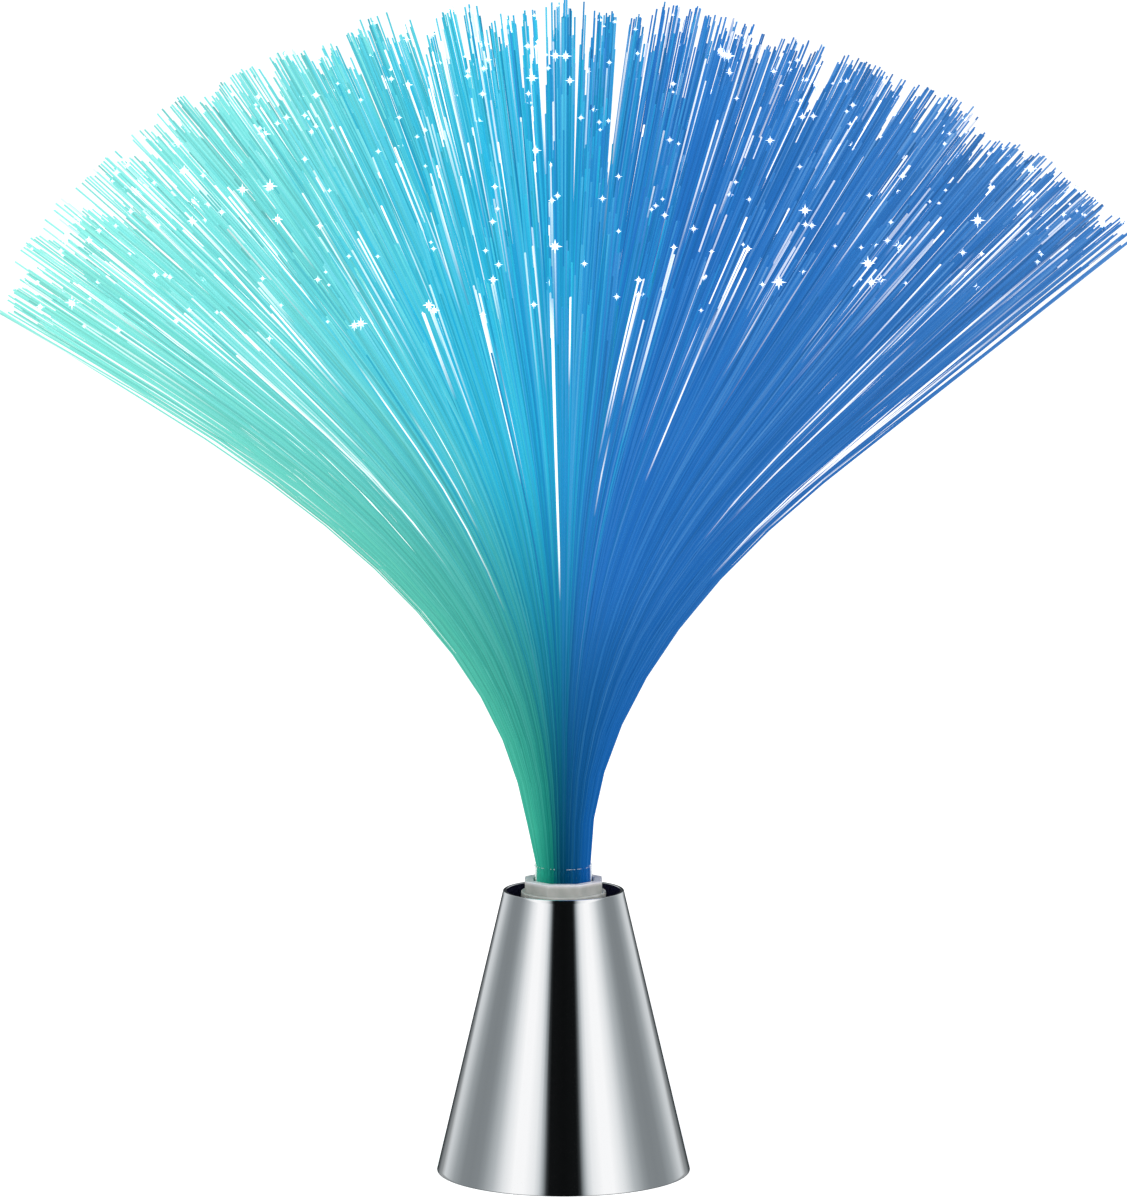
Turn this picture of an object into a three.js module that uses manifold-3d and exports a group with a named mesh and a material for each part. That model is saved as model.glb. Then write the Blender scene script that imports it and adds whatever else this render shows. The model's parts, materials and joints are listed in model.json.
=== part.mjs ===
// A battery-powered fibre optic lamp: a polished cone base with a fountain of light-carrying fibres standing in its mouth.
// Inside the cone three AAA cells stand upright in a tube, closed from below by a bayonet cap. A board on top of the tube
// carries a colour-changing LED, which shines up into the polished end of the fibre bundle. The bundle's ferrule drops
// into a white collar that turns in the lamp socket, and a slide switch sits in the base plate.
// Sizes are in millimetres. +Z is up, the origin is on the floor under the middle of the base, -Y is the front, and +X
// is the blue side of the fountain.
import * as THREE from "three";
import { mergeVertices } from "three/addons/utils/BufferGeometryUtils.js";
import Module from "manifold-3d";

const wasm = await Module();
wasm.setup();

// Clearances between pieces
const seatGap = 0.05; // between flat faces that rest on each other
const fitGap = 0.2; // around a piece that is held still
const runGap = 0.3; // around a piece that moves
const overrun = 0.8; // how far a cutter runs past what it cuts
const weldDistance = 1e-4;

// Facets
const shellSegments = 48;
const roundSegments = 24;
const smallSegments = 10;
const arcSteps = 1;

// Cone shell
const shellBottomDiameter = 70;
const shellTopDiameter = 33.3;
const shellWall = 1.3;
const shellEdgeRound = 0.5;
const rimAboveFlange = 0.3;

// Feet and base plate
const footDiameter = 7;
const footProud = 0.5;
const footEdgeRound = 0.4;
const footEdge = 1;
const footAzimuths = [30, 150, 270];
const plateRecess = 1.2;
const plateThickness = 2.2;
const plateRimWall = 1.2;

// Plate screws, and the bosses in the shell that take them
const plateScrewDiameter = 2.6;
const plateScrewLength = 12;
const plateScrewHeadDiameter = 4.8;
const plateScrewHeadHeight = 1.3;
const plateScrewEdge = 5;
const plateScrewAzimuths = [90, 210, 330];
const bossDiameter = 5.2;
const bossRibWidth = 1.4;

// Cells
const cellDiameter = 10.5;
const cellLength = 44.5;
const cellSpacing = 0.7;
const cellButtonDiameter = 3.8;
const cellButtonHeight = 1;
const cellEdgeRound = 0.6;
const cellAzimuths = [90, 210, 330];

// Contacts
const contactThickness = 0.4;
const contactWidth = 5;
const contactReach = 3.2;
const contactGap = 0.15;
const domeBaseDiameter = 4.4;
const domeTipDiameter = 3;
const springWire = 0.4;
const springBaseDiameter = 5.6;
const springTipDiameter = 3.4;
const springTurns = 3;
const springStepsPerTurn = 8;
const springSides = 5;
const pinWidth = 1;
const pinProud = 0.6;
const plusPinShift = 2;
const returnStripWidth = 3;
const returnStripAzimuth = 30;
const returnFootReach = 2.5;
const returnPinInset = 1.5;

// Battery tube
const tubeWall = 1.4;
const tubeEarThickness = 2;
const tubeEarWidth = 6;
const tubeRibWidth = 4;
const tubeRibAzimuths = [150, 270];
const deckThickness = 1.6;
const leadWellDiameter = 4.6;
const leadWellDepth = 1;

// Battery cap
const capOverlap = 3;
const capFaceInset = 0.2;
const capTurn = 35;
const capLugAzimuths = [0, 120, 240];
const lugReach = 1.7;
const lugThickness = 1.2;
const lugAngle = 24;
const notchExtraAngle = 6;
const stopAngle = 5;
const stopGapAngle = 1.2;
const coinSlotLength = 16;
const coinSlotWidth = 2;
const coinSlotDepth = 1;

// Driver board, LED and the small parts on the board
const boardThickness = 1.2;
const ledDiameter = 8;
const ledFlangeDiameter = 9.2;
const ledFlangeHeight = 1.2;
const ledHeight = 10;
const ledDomeSteps = 5;
const leadWidth = 0.5;
const leadPitch = 2.54;
const leadProud = 0.6;
const chipLength = 3.8;
const chipWidth = 4.8;
const chipHeight = 1.3;
const chipShift = 7.6;
const resistorLength = 3.2;
const resistorWidth = 1.6;
const resistorHeight = 0.7;
const resistorShift = 7.2;

// Lamp socket and its screws
const socketWall = 1.4;
const bellHeight = 4.2;
const socketEarThickness = 1.8;
const socketEarDiameter = 4.4;
const socketPostHeight = 8;
const socketScrewDiameter = 2;
const socketScrewLength = 7;
const socketScrewHeadDiameter = 3.6;
const socketScrewHeadHeight = 1.3;
const socketScrewAzimuths = [60, 180, 300];

// Cross recess in every screw head
const recessLengthShare = 0.62;
const recessWidthShare = 0.18;
const recessDepthShare = 0.55;

// Collar
const collarWall = 1.3;
const collarLipWidth = 1.3;
const collarLipThickness = 1.2;
const collarFlangeReach = 2.15;
const collarFlangeThickness = 2;
const collarHeadAcross = 21.3;
const collarHeadHeight = 3.4;
const collarHeadChamfer = 0.5;
const collarHeadSides = 8;

// Fibre bundle: the potted end, its ferrule and its clear sleeve
const bundleDiameter = 14.7;
const bundleDepth = 10.85;
const bundleAboveLed = 0.6;
const bundleSplit = 0.15;
const bundleRise = 3.2;
const ferruleWall = 0.5;
const ferruleGap = 0.1;
const ferruleDrop = 1.3;
const sleeveProud = 0.9;

// Fountain of fibres
const fibreDiameter = 0.56;
const fibreSides = 3;
const fibreRings = 10;
const fibreRingPitch = 0.68;
const fibrePitch = 0.73;
const fountainReach = 161;
const crownRise = 239;
const sideRise = 169;
const sideRiseTilt = 11;
const crownPower = 2.4;
const crownPowerTilt = 0.4;
const bendEndShare = 0.73;
const bendTiltShare = 0.094;
const levelShares = [0.2, 0.4];
const outerLevelShares = [0.2, 0.33, 0.47];
const outerRings = 1;
const tipJitterShare = 0.7;
const tipScatterShare = 0.045;
const scatterShares = [0.819173, 0.671044, 0.5497];
const sectorNames = ["right", "back", "left", "front"];
const sectorAngle = 360 / sectorNames.length;

// Slide switch and its two wires
const switchLength = 8.6;
const switchWidth = 4.4;
const switchHeight = 4;
const switchTravel = 2.4;
const sliderLength = 3;
const sliderWidth = 2.6;
const sliderHeight = 1.4;
const knobLength = 1.8;
const knobWidth = 1.4;
const knobInset = 0.7;
const switchPinWidth = 0.8;
const switchPinHeight = 1.8;
const switchPinPitch = 3;
const clipThickness = 1.2;
const clipHook = 0.5;
const clipWidth = 2.4;
const wireDiameter = 1;
const wireSides = 6;
const wireSteps = 24;
const wireInset = 2.4;
const wireStandoff = 2.6;
const wireRiser = 4;
const wireSlotSide = 0.8;

// Radii that follow from the sizes above
const shellBottomRadius = shellBottomDiameter / 2;
const shellTopRadius = shellTopDiameter / 2;
const cellRadius = cellDiameter / 2;
const cellCircleRadius = (cellDiameter + cellSpacing) / Math.sqrt(3);
const tubeBoreRadius = cellCircleRadius + cellRadius + fitGap;
const tubeRadius = tubeBoreRadius + tubeWall;
const capRadius = tubeBoreRadius + capOverlap;
const lugRadius = capRadius + lugReach;
const skirtBoreRadius = lugRadius + runGap;
const skirtRadius = skirtBoreRadius + tubeWall;
const boardRadius = tubeBoreRadius - fitGap;
const stripRadius = tubeBoreRadius - fitGap - runGap;
const returnContactRadius = stripRadius - returnStripWidth / 2;
const plusPinRadius = cellCircleRadius + plusPinShift;
const returnPinRadius = stripRadius - returnPinInset;
const bundleRadius = bundleDiameter / 2;
const ferruleBoreRadius = bundleRadius + ferruleGap;
const ferruleRadius = ferruleBoreRadius + ferruleWall;
const collarBoreRadius = ferruleRadius + runGap;
const spigotRadius = collarBoreRadius + collarWall;
const flangeRadius = spigotRadius + collarFlangeReach;
const headRadius = collarHeadAcross / 2 / Math.cos(Math.PI / collarHeadSides);
const cupBoreRadius = spigotRadius + runGap;
const cupRadius = cupBoreRadius + socketWall;
const windowRadius = ledDiameter / 2 + runGap;
const socketScrewRadius = tubeRadius + socketScrewHeadDiameter / 2 + fitGap;

// Heights that follow from the sizes above
const shellZ = footProud;
const plateZ = shellZ + plateRecess;
const plateTop = plateZ + plateThickness;
const tubeZ = plateTop + seatGap;
const tubeEarTop = tubeZ + tubeEarThickness;
const bossZ = tubeEarTop + seatGap;
const lugZ = plateTop + runGap;
const capTop = lugZ + lugThickness;
const shoulderZ = capTop + runGap;
const shoulderTop = shoulderZ + tubeWall;
const lowContactZ = capTop + seatGap;
const lowContactTop = lowContactZ + contactThickness;
const cellZ = lowContactTop + contactReach + contactGap;
const cellTop = cellZ + cellLength;
const highContactZ = cellTop + contactGap + contactReach;
const highContactTop = highContactZ + contactThickness;
const deckZ = highContactTop + seatGap;
const deckTop = deckZ + deckThickness;
const boardZ = deckTop + seatGap;
const boardTop = boardZ + boardThickness;
const ledZ = boardTop + seatGap;
const ledTop = ledZ + ledHeight;
const socketZ = deckTop + seatGap;
const bellTop = socketZ + bellHeight;
const socketEarTop = socketZ + socketEarThickness;
const bundleZ = ledTop + bundleAboveLed;
const collarTop = bundleZ + bundleDepth;
const flangeTop = collarTop - collarHeadHeight;
const flangeZ = flangeTop - collarFlangeThickness;
const socketTop = flangeZ - seatGap;
const lipTop = bundleZ - runGap;
const collarZ = lipTop - collarLipThickness;
const cupFloor = collarZ - runGap;
const ferruleTop = collarTop - ferruleDrop;
const shellTop = flangeTop + rimAboveFlange;
const bundleTop = collarTop + bundleRise;
const wireLevel = boardTop + seatGap + wireDiameter / 2;

// Sizes that follow from the cone's slope
const shellSlope = (shellBottomRadius - shellTopRadius) / (shellTop - shellZ);
const shellOuterRadiusAt = (z) => shellBottomRadius - shellSlope * (z - shellZ);
const plateRadius = shellOuterRadiusAt(tubeEarTop) - shellWall - fitGap;
const plateScrewRadius = plateRadius - plateScrewEdge;
const footRadius = plateRadius - footEdge - footDiameter / 2;
const switchRadius = (skirtRadius + plateRadius - plateRimWall) / 2;
const bossTop = shellZ + (shellBottomRadius - shellWall - plateScrewRadius) / shellSlope;

const radians = THREE.MathUtils.degToRad;
const lerp = THREE.MathUtils.lerp;
const at = (radius, azimuth) => [radius * Math.cos(radians(azimuth)), radius * Math.sin(radians(azimuth))];
const cellPlaces = cellAzimuths.map((azimuth) => at(cellCircleRadius, azimuth));

// A closed geometry as a solid, with shared vertices welded and triangles that collapsed at an axis left out.
function solidOf(geometry) {
  const bare = new THREE.BufferGeometry().setAttribute("position", geometry.getAttribute("position"));
  if (geometry.index) bare.setIndex(geometry.index);
  const welded = mergeVertices(bare, weldDistance);
  const corners = welded.index.array;
  const triangles = [];
  for (let i = 0; i < corners.length; i += 3) {
    const [a, b, c] = corners.subarray(i, i + 3);
    if (a !== b && b !== c && c !== a) triangles.push(a, b, c);
  }
  const vertProperties = welded.getAttribute("position").array;
  return new wasm.Manifold(new wasm.Mesh({ numProp: 3, vertProperties, triVerts: new Uint32Array(triangles) }));
}

// A solid as a geometry for a mesh.
function geometryOf(solid) {
  const { numProp, numVert, vertProperties, triVerts } = solid.getMesh();
  const positions = new Float32Array(numVert * 3);
  for (let i = 0; i < numVert; i++) positions.set(vertProperties.subarray(i * numProp, i * numProp + 3), i * 3);
  return new THREE.BufferGeometry()
    .setAttribute("position", new THREE.BufferAttribute(positions, 3))
    .setIndex(new THREE.BufferAttribute(triVerts, 1));
}

// Corners [r, z, round] as profile points, each rounded corner an arc no larger than its edges leave room for.
function roundedProfile(corners) {
  return corners.flatMap(([r, z, round = 0], i) => {
    const corner = new THREE.Vector2(r, z);
    if (!round) return [corner];
    const before = corners.at(i - 1);
    const after = corners[(i + 1) % corners.length];
    const toBefore = new THREE.Vector2(before[0] - r, before[1] - z);
    const toAfter = new THREE.Vector2(after[0] - r, after[1] - z);
    const room = Math.min(toBefore.length(), toAfter.length()) / 2;
    toBefore.normalize();
    toAfter.normalize();
    const half = Math.acos(toBefore.dot(toAfter)) / 2;
    const along = Math.min(round / Math.tan(half), room);
    const inward = toBefore.clone().add(toAfter).normalize();
    const centre = corner.clone().addScaledVector(inward, along / Math.cos(half));
    const from = corner.clone().addScaledVector(toBefore, along).sub(centre);
    const to = corner.clone().addScaledVector(toAfter, along).sub(centre);
    let sweep = to.angle() - from.angle();
    if (sweep > Math.PI) sweep -= 2 * Math.PI;
    if (sweep < -Math.PI) sweep += 2 * Math.PI;
    const origin = new THREE.Vector2();
    return Array.from({ length: arcSteps + 1 }, (_, k) =>
      from.clone().rotateAround(origin, (sweep * k) / arcSteps).add(centre),
    );
  });
}

// Turns a closed outline of [r, z, round] corners, listed anticlockwise, round the Z axis.
function turned(corners, segments = roundSegments) {
  const points = roundedProfile(corners);
  return solidOf(new THREE.LatheGeometry([...points, points[0]], segments).rotateX(Math.PI / 2));
}

function disc(radius, low, high, segments = roundSegments) {
  return turned([[0, low], [radius, low], [radius, high], [0, high]], segments);
}

function ring(radius, bore, low, high, segments = roundSegments) {
  return turned([[bore, low], [radius, low], [radius, high], [bore, high]], segments);
}

function block(lengthX, lengthY, low, high) {
  return solidOf(new THREE.BoxGeometry(lengthX, lengthY, high - low)).translate([0, 0, (low + high) / 2]);
}

// A block that runs outwards along +X from one radius to another.
function arm(fromRadius, toRadius, width, low, high) {
  return block(toRadius - fromRadius, width, low, high).translate([(fromRadius + toRadius) / 2, 0, 0]);
}

// A wedge of a disc, centred on +X and angle degrees wide.
function wedge(radius, angle, low, high) {
  const outline = new THREE.Shape();
  outline.absarc(0, 0, radius, -radians(angle / 2), radians(angle / 2));
  outline.lineTo(0, 0);
  const depth = high - low;
  const geometry = new THREE.ExtrudeGeometry(outline, { depth, bevelEnabled: false, curveSegments: smallSegments });
  return solidOf(geometry).translate([0, 0, low]);
}

// A flat strip with round ends from one place to another.
function strip([fromX, fromY], [toX, toY], width, low, high) {
  const heading = Math.atan2(toY - fromY, toX - fromX);
  const square = Math.PI / 2;
  const outline = new THREE.Shape();
  outline.absarc(toX, toY, width / 2, heading - square, heading + square);
  outline.absarc(fromX, fromY, width / 2, heading + square, heading + 3 * square);
  const depth = high - low;
  const geometry = new THREE.ExtrudeGeometry(outline, { depth, bevelEnabled: false, curveSegments: smallSegments });
  return solidOf(geometry).translate([0, 0, low]);
}

const spun = (solid, azimuth) => solid.rotate([0, 0, azimuth]);
const spunCopies = (solid, azimuths) => azimuths.map((azimuth) => spun(solid, azimuth));
const joined = (...solids) => wasm.Manifold.union(solids.flat());
const cut = (solid, ...cutters) => solid.subtract(joined(...cutters));
const shifted = (solid, [x, y], z = 0) => solid.translate([x, y, z]);

// A tube through points of a path, each with the direction that it runs in there. The section is a regular polygon in
// the plane square to that direction, and starts square to the sideways direction.
function tubeThrough(points, directions, sideways, diameter, sides) {
  const rings = points.map((point, i) => {
    const normal = new THREE.Vector3().crossVectors(sideways, directions[i]).normalize();
    const binormal = new THREE.Vector3().crossVectors(directions[i], normal);
    return Array.from({ length: sides }, (_, k) => {
      const angle = (2 * Math.PI * k) / sides;
      const corner = point.clone().addScaledVector(normal, (Math.cos(angle) * diameter) / 2);
      return corner.addScaledVector(binormal, (Math.sin(angle) * diameter) / 2);
    });
  });
  const triangles = [];
  for (let i = 0; i + 1 < rings.length; i++) {
    for (let k = 0; k < sides; k++) {
      const a = i * sides + k;
      const b = i * sides + ((k + 1) % sides);
      triangles.push(a, b, b + sides, a, b + sides, a + sides);
    }
  }
  const last = (rings.length - 1) * sides;
  for (let k = 1; k + 1 < sides; k++) triangles.push(0, k + 1, k, last, last + k, last + k + 1);
  return solidOf(new THREE.BufferGeometry().setFromPoints(rings.flat()).setIndex(triangles));
}

// The polished cone: a thin wall with rounded edges, and inside it three ribbed bosses for the plate screws.
function makeShell() {
  const wall = turned(
    [
      [shellBottomRadius - shellWall, shellZ, shellEdgeRound],
      [shellBottomRadius, shellZ, shellEdgeRound],
      [shellTopRadius, shellTop, shellEdgeRound],
      [shellTopRadius - shellWall, shellTop, shellEdgeRound],
    ],
    shellSegments,
  );
  const post = shifted(disc(bossDiameter / 2, bossZ, bossTop, smallSegments), [plateScrewRadius, 0]);
  const rib = arm(plateScrewRadius, shellBottomRadius, bossRibWidth, bossZ, bossTop);
  const middleOfWall = (z) => shellOuterRadiusAt(z) - shellWall / 2;
  const inside = turned(
    [[0, bossZ], [middleOfWall(bossZ), bossZ], [middleOfWall(bossTop), bossTop], [0, bossTop]],
    shellSegments,
  );
  const holeTop = plateZ + plateScrewHeadHeight + plateScrewLength + overrun;
  const hole = shifted(
    disc(plateScrewDiameter / 2 + fitGap, bossZ - overrun, holeTop, smallSegments),
    [plateScrewRadius, 0],
  );
  const bosses = spunCopies(joined(post, rib).intersect(inside), plateScrewAzimuths);
  return cut(joined(wall, bosses), spunCopies(hole, plateScrewAzimuths));
}

// The round plate that closes the cone: a bayonet opening with its stops, screw holes, a slot for the switch and two clips.
function makeBasePlate() {
  const low = plateZ - overrun;
  const high = plateTop + overrun;
  const stop = cut(
    wedge(skirtBoreRadius - fitGap, stopAngle, plateTop - seatGap, capTop),
    disc(capRadius + runGap, plateTop - overrun, capTop + overrun),
  );
  const stopShift = lugAngle / 2 + stopGapAngle + stopAngle / 2;
  const body = joined(
    disc(plateRadius, plateZ, plateTop, shellSegments),
    ring(plateRadius, plateRadius - plateRimWall, plateTop - seatGap, tubeEarTop, shellSegments),
    capLugAzimuths.map((azimuth) => spun(stop, azimuth - stopShift)),
  );
  const opening = disc(capRadius + runGap, low, high);
  const notch = spun(wedge(lugRadius + runGap, lugAngle + notchExtraAngle, low, high), capTurn);
  const screwHole = shifted(
    joined(
      disc(plateScrewDiameter / 2 + fitGap, low, high, smallSegments),
      disc(plateScrewHeadDiameter / 2 + fitGap, low, plateZ + plateScrewHeadHeight, smallSegments),
    ),
    [plateScrewRadius, 0],
  );
  const slotLength = knobLength + switchTravel + 2 * runGap;
  const slot = shifted(block(knobWidth + 2 * runGap, slotLength, low, high), [switchRadius, 0]);
  const cutters = [opening, spunCopies(notch, capLugAzimuths), spunCopies(screwHole, plateScrewAzimuths), slot];
  return joined(cut(body, ...cutters.flat()), makeSwitchClip(), makeSwitchClip().mirror([0, 1, 0]));
}

// A post beside the switch with a hook over its top.
function makeSwitchClip() {
  const reach = switchLength / 2 + fitGap;
  const hookZ = tubeZ + switchHeight + fitGap;
  const post = block(clipWidth, clipThickness, plateTop - seatGap, hookZ + clipHook);
  const hook = block(clipWidth, clipThickness + clipHook, hookZ, hookZ + clipHook);
  return joined(
    shifted(post, [switchRadius, reach + clipThickness / 2]),
    shifted(hook, [switchRadius, reach + (clipThickness - clipHook) / 2]),
  );
}

function makeFoot(azimuth) {
  const radius = footDiameter / 2;
  const corners = [[0, 0], [radius, 0, footEdgeRound], [radius, plateZ - seatGap], [0, plateZ - seatGap]];
  return shifted(turned(corners, smallSegments * 2), at(footRadius, azimuth));
}

// A pan-head screw that points up, with the underside of its head at zero height.
function makeScrew(diameter, length, headDiameter, headHeight) {
  const radius = headDiameter / 2;
  const head = turned([[0, -headHeight], [radius, -headHeight, headHeight / 2], [radius, 0], [0, 0]], smallSegments * 2);
  const shank = disc(diameter / 2, -headHeight / 2, length, smallSegments);
  const recessTop = headHeight * (recessDepthShare - 1);
  const slot = block(headDiameter * recessLengthShare, headDiameter * recessWidthShare, -headHeight - overrun, recessTop);
  return cut(joined(head, shank), slot, spun(slot, 90));
}

function makePlateScrew(azimuth) {
  const screw = makeScrew(plateScrewDiameter, plateScrewLength, plateScrewHeadDiameter, plateScrewHeadHeight);
  return shifted(screw, at(plateScrewRadius, azimuth), plateZ + plateScrewHeadHeight - seatGap);
}

function makeSocketScrew(azimuth) {
  const screw = makeScrew(socketScrewDiameter, socketScrewLength, socketScrewHeadDiameter, socketScrewHeadHeight);
  return shifted(screw.rotate([180, 0, 0]), at(socketScrewRadius, azimuth), socketEarTop + seatGap);
}

// Hole for a contact's pin, on the +X axis.
function pinHole(radius, low, high) {
  return shifted(block(contactThickness + 2 * fitGap, pinWidth + 2 * fitGap, low, high), [radius, 0]);
}

function pinHoles(low, high) {
  const plusHole = spun(pinHole(plusPinRadius, low, high), cellAzimuths[0]);
  return [plusHole, spun(pinHole(returnPinRadius, low, high), returnStripAzimuth)];
}

// The tube that holds the cells: a skirt round the cap, ears under the shell's bosses, ribs between the cells, a deck for
// the board and posts for the socket's screws.
function makeBatteryTube() {
  const body = turned([
    [skirtBoreRadius, tubeZ],
    [skirtRadius, tubeZ],
    [skirtRadius, shoulderTop],
    [tubeRadius, shoulderTop],
    [tubeRadius, deckTop],
    [0, deckTop],
    [0, deckZ],
    [tubeBoreRadius, deckZ],
    [tubeBoreRadius, shoulderZ],
    [skirtBoreRadius, shoulderZ],
  ]);
  const ear = joined(
    arm(skirtRadius - tubeWall / 2, plateScrewRadius, tubeEarWidth, tubeZ, tubeEarTop),
    shifted(disc(tubeEarWidth / 2, tubeZ, tubeEarTop, smallSegments), [plateScrewRadius, 0]),
  );
  const earHole = shifted(
    disc(plateScrewDiameter / 2 + fitGap, tubeZ - overrun, tubeEarTop + overrun, smallSegments),
    [plateScrewRadius, 0],
  );
  const besideRib = cellCircleRadius * Math.sin(Math.PI / cellAzimuths.length) - tubeRibWidth / 2;
  const ribReach = Math.sqrt((cellRadius + fitGap) ** 2 - besideRib ** 2);
  const ribRadius = cellCircleRadius * Math.cos(Math.PI / cellAzimuths.length) + ribReach;
  const rib = arm(ribRadius, tubeBoreRadius + tubeWall / 2, tubeRibWidth, cellZ + runGap, deckZ + deckThickness / 2);
  const postZ = deckTop - socketPostHeight;
  const post = joined(
    arm(tubeRadius - tubeWall / 2, socketScrewRadius, socketEarDiameter, postZ, deckTop),
    shifted(disc(socketEarDiameter / 2, postZ, deckTop, smallSegments), [socketScrewRadius, 0]),
  );
  const postHoleZ = socketEarTop - socketScrewLength - overrun;
  const postHole = shifted(
    disc(socketScrewDiameter / 2 + fitGap, postHoleZ, deckTop + overrun, smallSegments),
    [socketScrewRadius, 0],
  );
  const leadWell = disc(leadWellDiameter / 2, deckTop - leadWellDepth, deckTop + overrun, smallSegments);
  return cut(
    joined(
      body,
      ...spunCopies(ear, plateScrewAzimuths),
      ...spunCopies(rib, tubeRibAzimuths),
      ...spunCopies(post, socketScrewAzimuths),
    ),
    ...spunCopies(earHole, plateScrewAzimuths),
    ...spunCopies(postHole, socketScrewAzimuths),
    ...pinHoles(deckZ - overrun, deckTop + overrun),
    leadWell,
  );
}

// The cap that holds the cells in: three lugs turn in over the plate, and a slot in its face takes a coin.
function makeBatteryCap() {
  const faceZ = plateZ + capFaceInset;
  const lug = wedge(lugRadius, lugAngle, lugZ, capTop);
  const coinSlot = block(coinSlotLength, coinSlotWidth, faceZ - overrun, faceZ + coinSlotDepth);
  return cut(joined(disc(capRadius, faceZ, capTop), ...spunCopies(lug, capLugAzimuths)), coinSlot);
}

// A cell with its button up, or turned over about its middle.
function makeCell(place, buttonUp) {
  const bodyTop = cellTop - cellButtonHeight;
  const buttonRadius = cellButtonDiameter / 2;
  const cell = turned([
    [0, cellZ],
    [cellRadius, cellZ, cellEdgeRound],
    [cellRadius, bodyTop, cellEdgeRound],
    [buttonRadius, bodyTop],
    [buttonRadius, cellTop],
    [0, cellTop],
  ]);
  const upright = buttonUp ? cell : cell.rotate([180, 0, 0]).translate([0, 0, cellZ + cellTop]);
  return shifted(upright, place);
}

// A pressed dome that reaches from a contact plate towards a cell's button.
function makeDome(place, plateFaceZ, direction) {
  const dome = turned(
    [
      [0, -contactThickness / 2],
      [domeBaseDiameter / 2, -contactThickness / 2],
      [domeTipDiameter / 2, contactReach, contactThickness],
      [0, contactReach],
    ],
    smallSegments,
  );
  return shifted(direction > 0 ? dome : dome.rotate([180, 0, 0]), place, plateFaceZ);
}

const lowStrip = (from, to, width) => strip(from, to, width, lowContactZ, lowContactTop);
const highStrip = (from, to) => strip(from, to, contactWidth, highContactZ, highContactTop);

function makeLowBridge() {
  return joined(lowStrip(cellPlaces[0], cellPlaces[1], contactWidth), makeDome(cellPlaces[1], lowContactTop, 1));
}

function makeLowReturn() {
  const pad = disc(springBaseDiameter / 2, lowContactZ, lowContactTop, smallSegments);
  const end = at(returnContactRadius, returnStripAzimuth);
  return joined(shifted(pad, cellPlaces[2]), lowStrip(cellPlaces[2], end, returnStripWidth));
}

function makeHighPlus() {
  const pin = block(contactThickness, pinWidth, highContactTop - seatGap, boardTop + pinProud);
  return joined(
    highStrip(cellPlaces[0], at(plusPinRadius, cellAzimuths[0])),
    makeDome(cellPlaces[0], highContactZ, -1),
    spun(shifted(pin, [plusPinRadius, 0]), cellAzimuths[0]),
  );
}

function makeHighBridge() {
  return joined(highStrip(cellPlaces[1], cellPlaces[2]), makeDome(cellPlaces[2], highContactZ, -1));
}

// The strip that leads from the cap's contact up the tube's wall to the board.
function makeReturnStrip() {
  const footZ = lowContactTop + seatGap;
  const foot = arm(stripRadius - returnFootReach, stripRadius, returnStripWidth, footZ, footZ + contactThickness);
  const upright = arm(stripRadius - contactThickness, stripRadius, returnStripWidth, footZ, highContactTop);
  const head = arm(stripRadius - returnFootReach, stripRadius, returnStripWidth, highContactZ, highContactTop);
  const pin = block(contactThickness, pinWidth, highContactTop - seatGap, boardTop + pinProud);
  return spun(joined(foot, upright, head, shifted(pin, [returnPinRadius, 0])), returnStripAzimuth);
}

// The middle of a contact spring's wire, turns up from its base, and the direction it runs in there.
function springAt(turns) {
  const share = turns / springTurns;
  const rise = contactReach - springWire;
  const radius = lerp(springBaseDiameter - springWire, springTipDiameter - springWire, share) / 2;
  const angle = 2 * Math.PI * turns;
  const point = new THREE.Vector3(radius * Math.cos(angle), radius * Math.sin(angle), springWire / 2 + rise * share);
  const curl = 2 * Math.PI * radius;
  const direction = new THREE.Vector3(-curl * Math.sin(angle), curl * Math.cos(angle), rise / springTurns).normalize();
  return { point, direction };
}

// A conical coil spring that stands on a contact plate, or hangs from one.
function makeSpring(place, plateFaceZ, side) {
  const stations = Array.from({ length: springTurns * springStepsPerTurn + 1 }, (_, i) => springAt(i / springStepsPerTurn));
  const points = stations.map((station) => station.point);
  const directions = stations.map((station) => station.direction);
  const spring = tubeThrough(points, directions, new THREE.Vector3(0, 0, 1), springWire, springSides);
  return shifted(side > 0 ? spring : spring.rotate([180, 0, 0]), place, plateFaceZ + side * seatGap);
}

// The least gap between one curl of a contact spring and the next.
function leastSpringGap() {
  const samplesPerTurn = 2 * springStepsPerTurn * springSides;
  const samples = springTurns * samplesPerTurn;
  const points = Array.from({ length: samples + 1 }, (_, i) => springAt(i / samplesPerTurn).point);
  const gaps = points.flatMap((point, i) =>
    points.slice(i + samplesPerTurn / 2).map((other) => point.distanceTo(other) - springWire),
  );
  return Math.min(...gaps);
}

// The round board that sits on the tube's deck.
function makeBoard() {
  const low = boardZ - overrun;
  const high = boardTop + overrun;
  const leadHole = block(leadWidth + 2 * fitGap, leadWidth + 2 * fitGap, low, high);
  return cut(
    disc(boardRadius, boardZ, boardTop),
    shifted(leadHole, [leadPitch / 2, 0]),
    shifted(leadHole, [-leadPitch / 2, 0]),
    ...pinHoles(low, high),
  );
}

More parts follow.
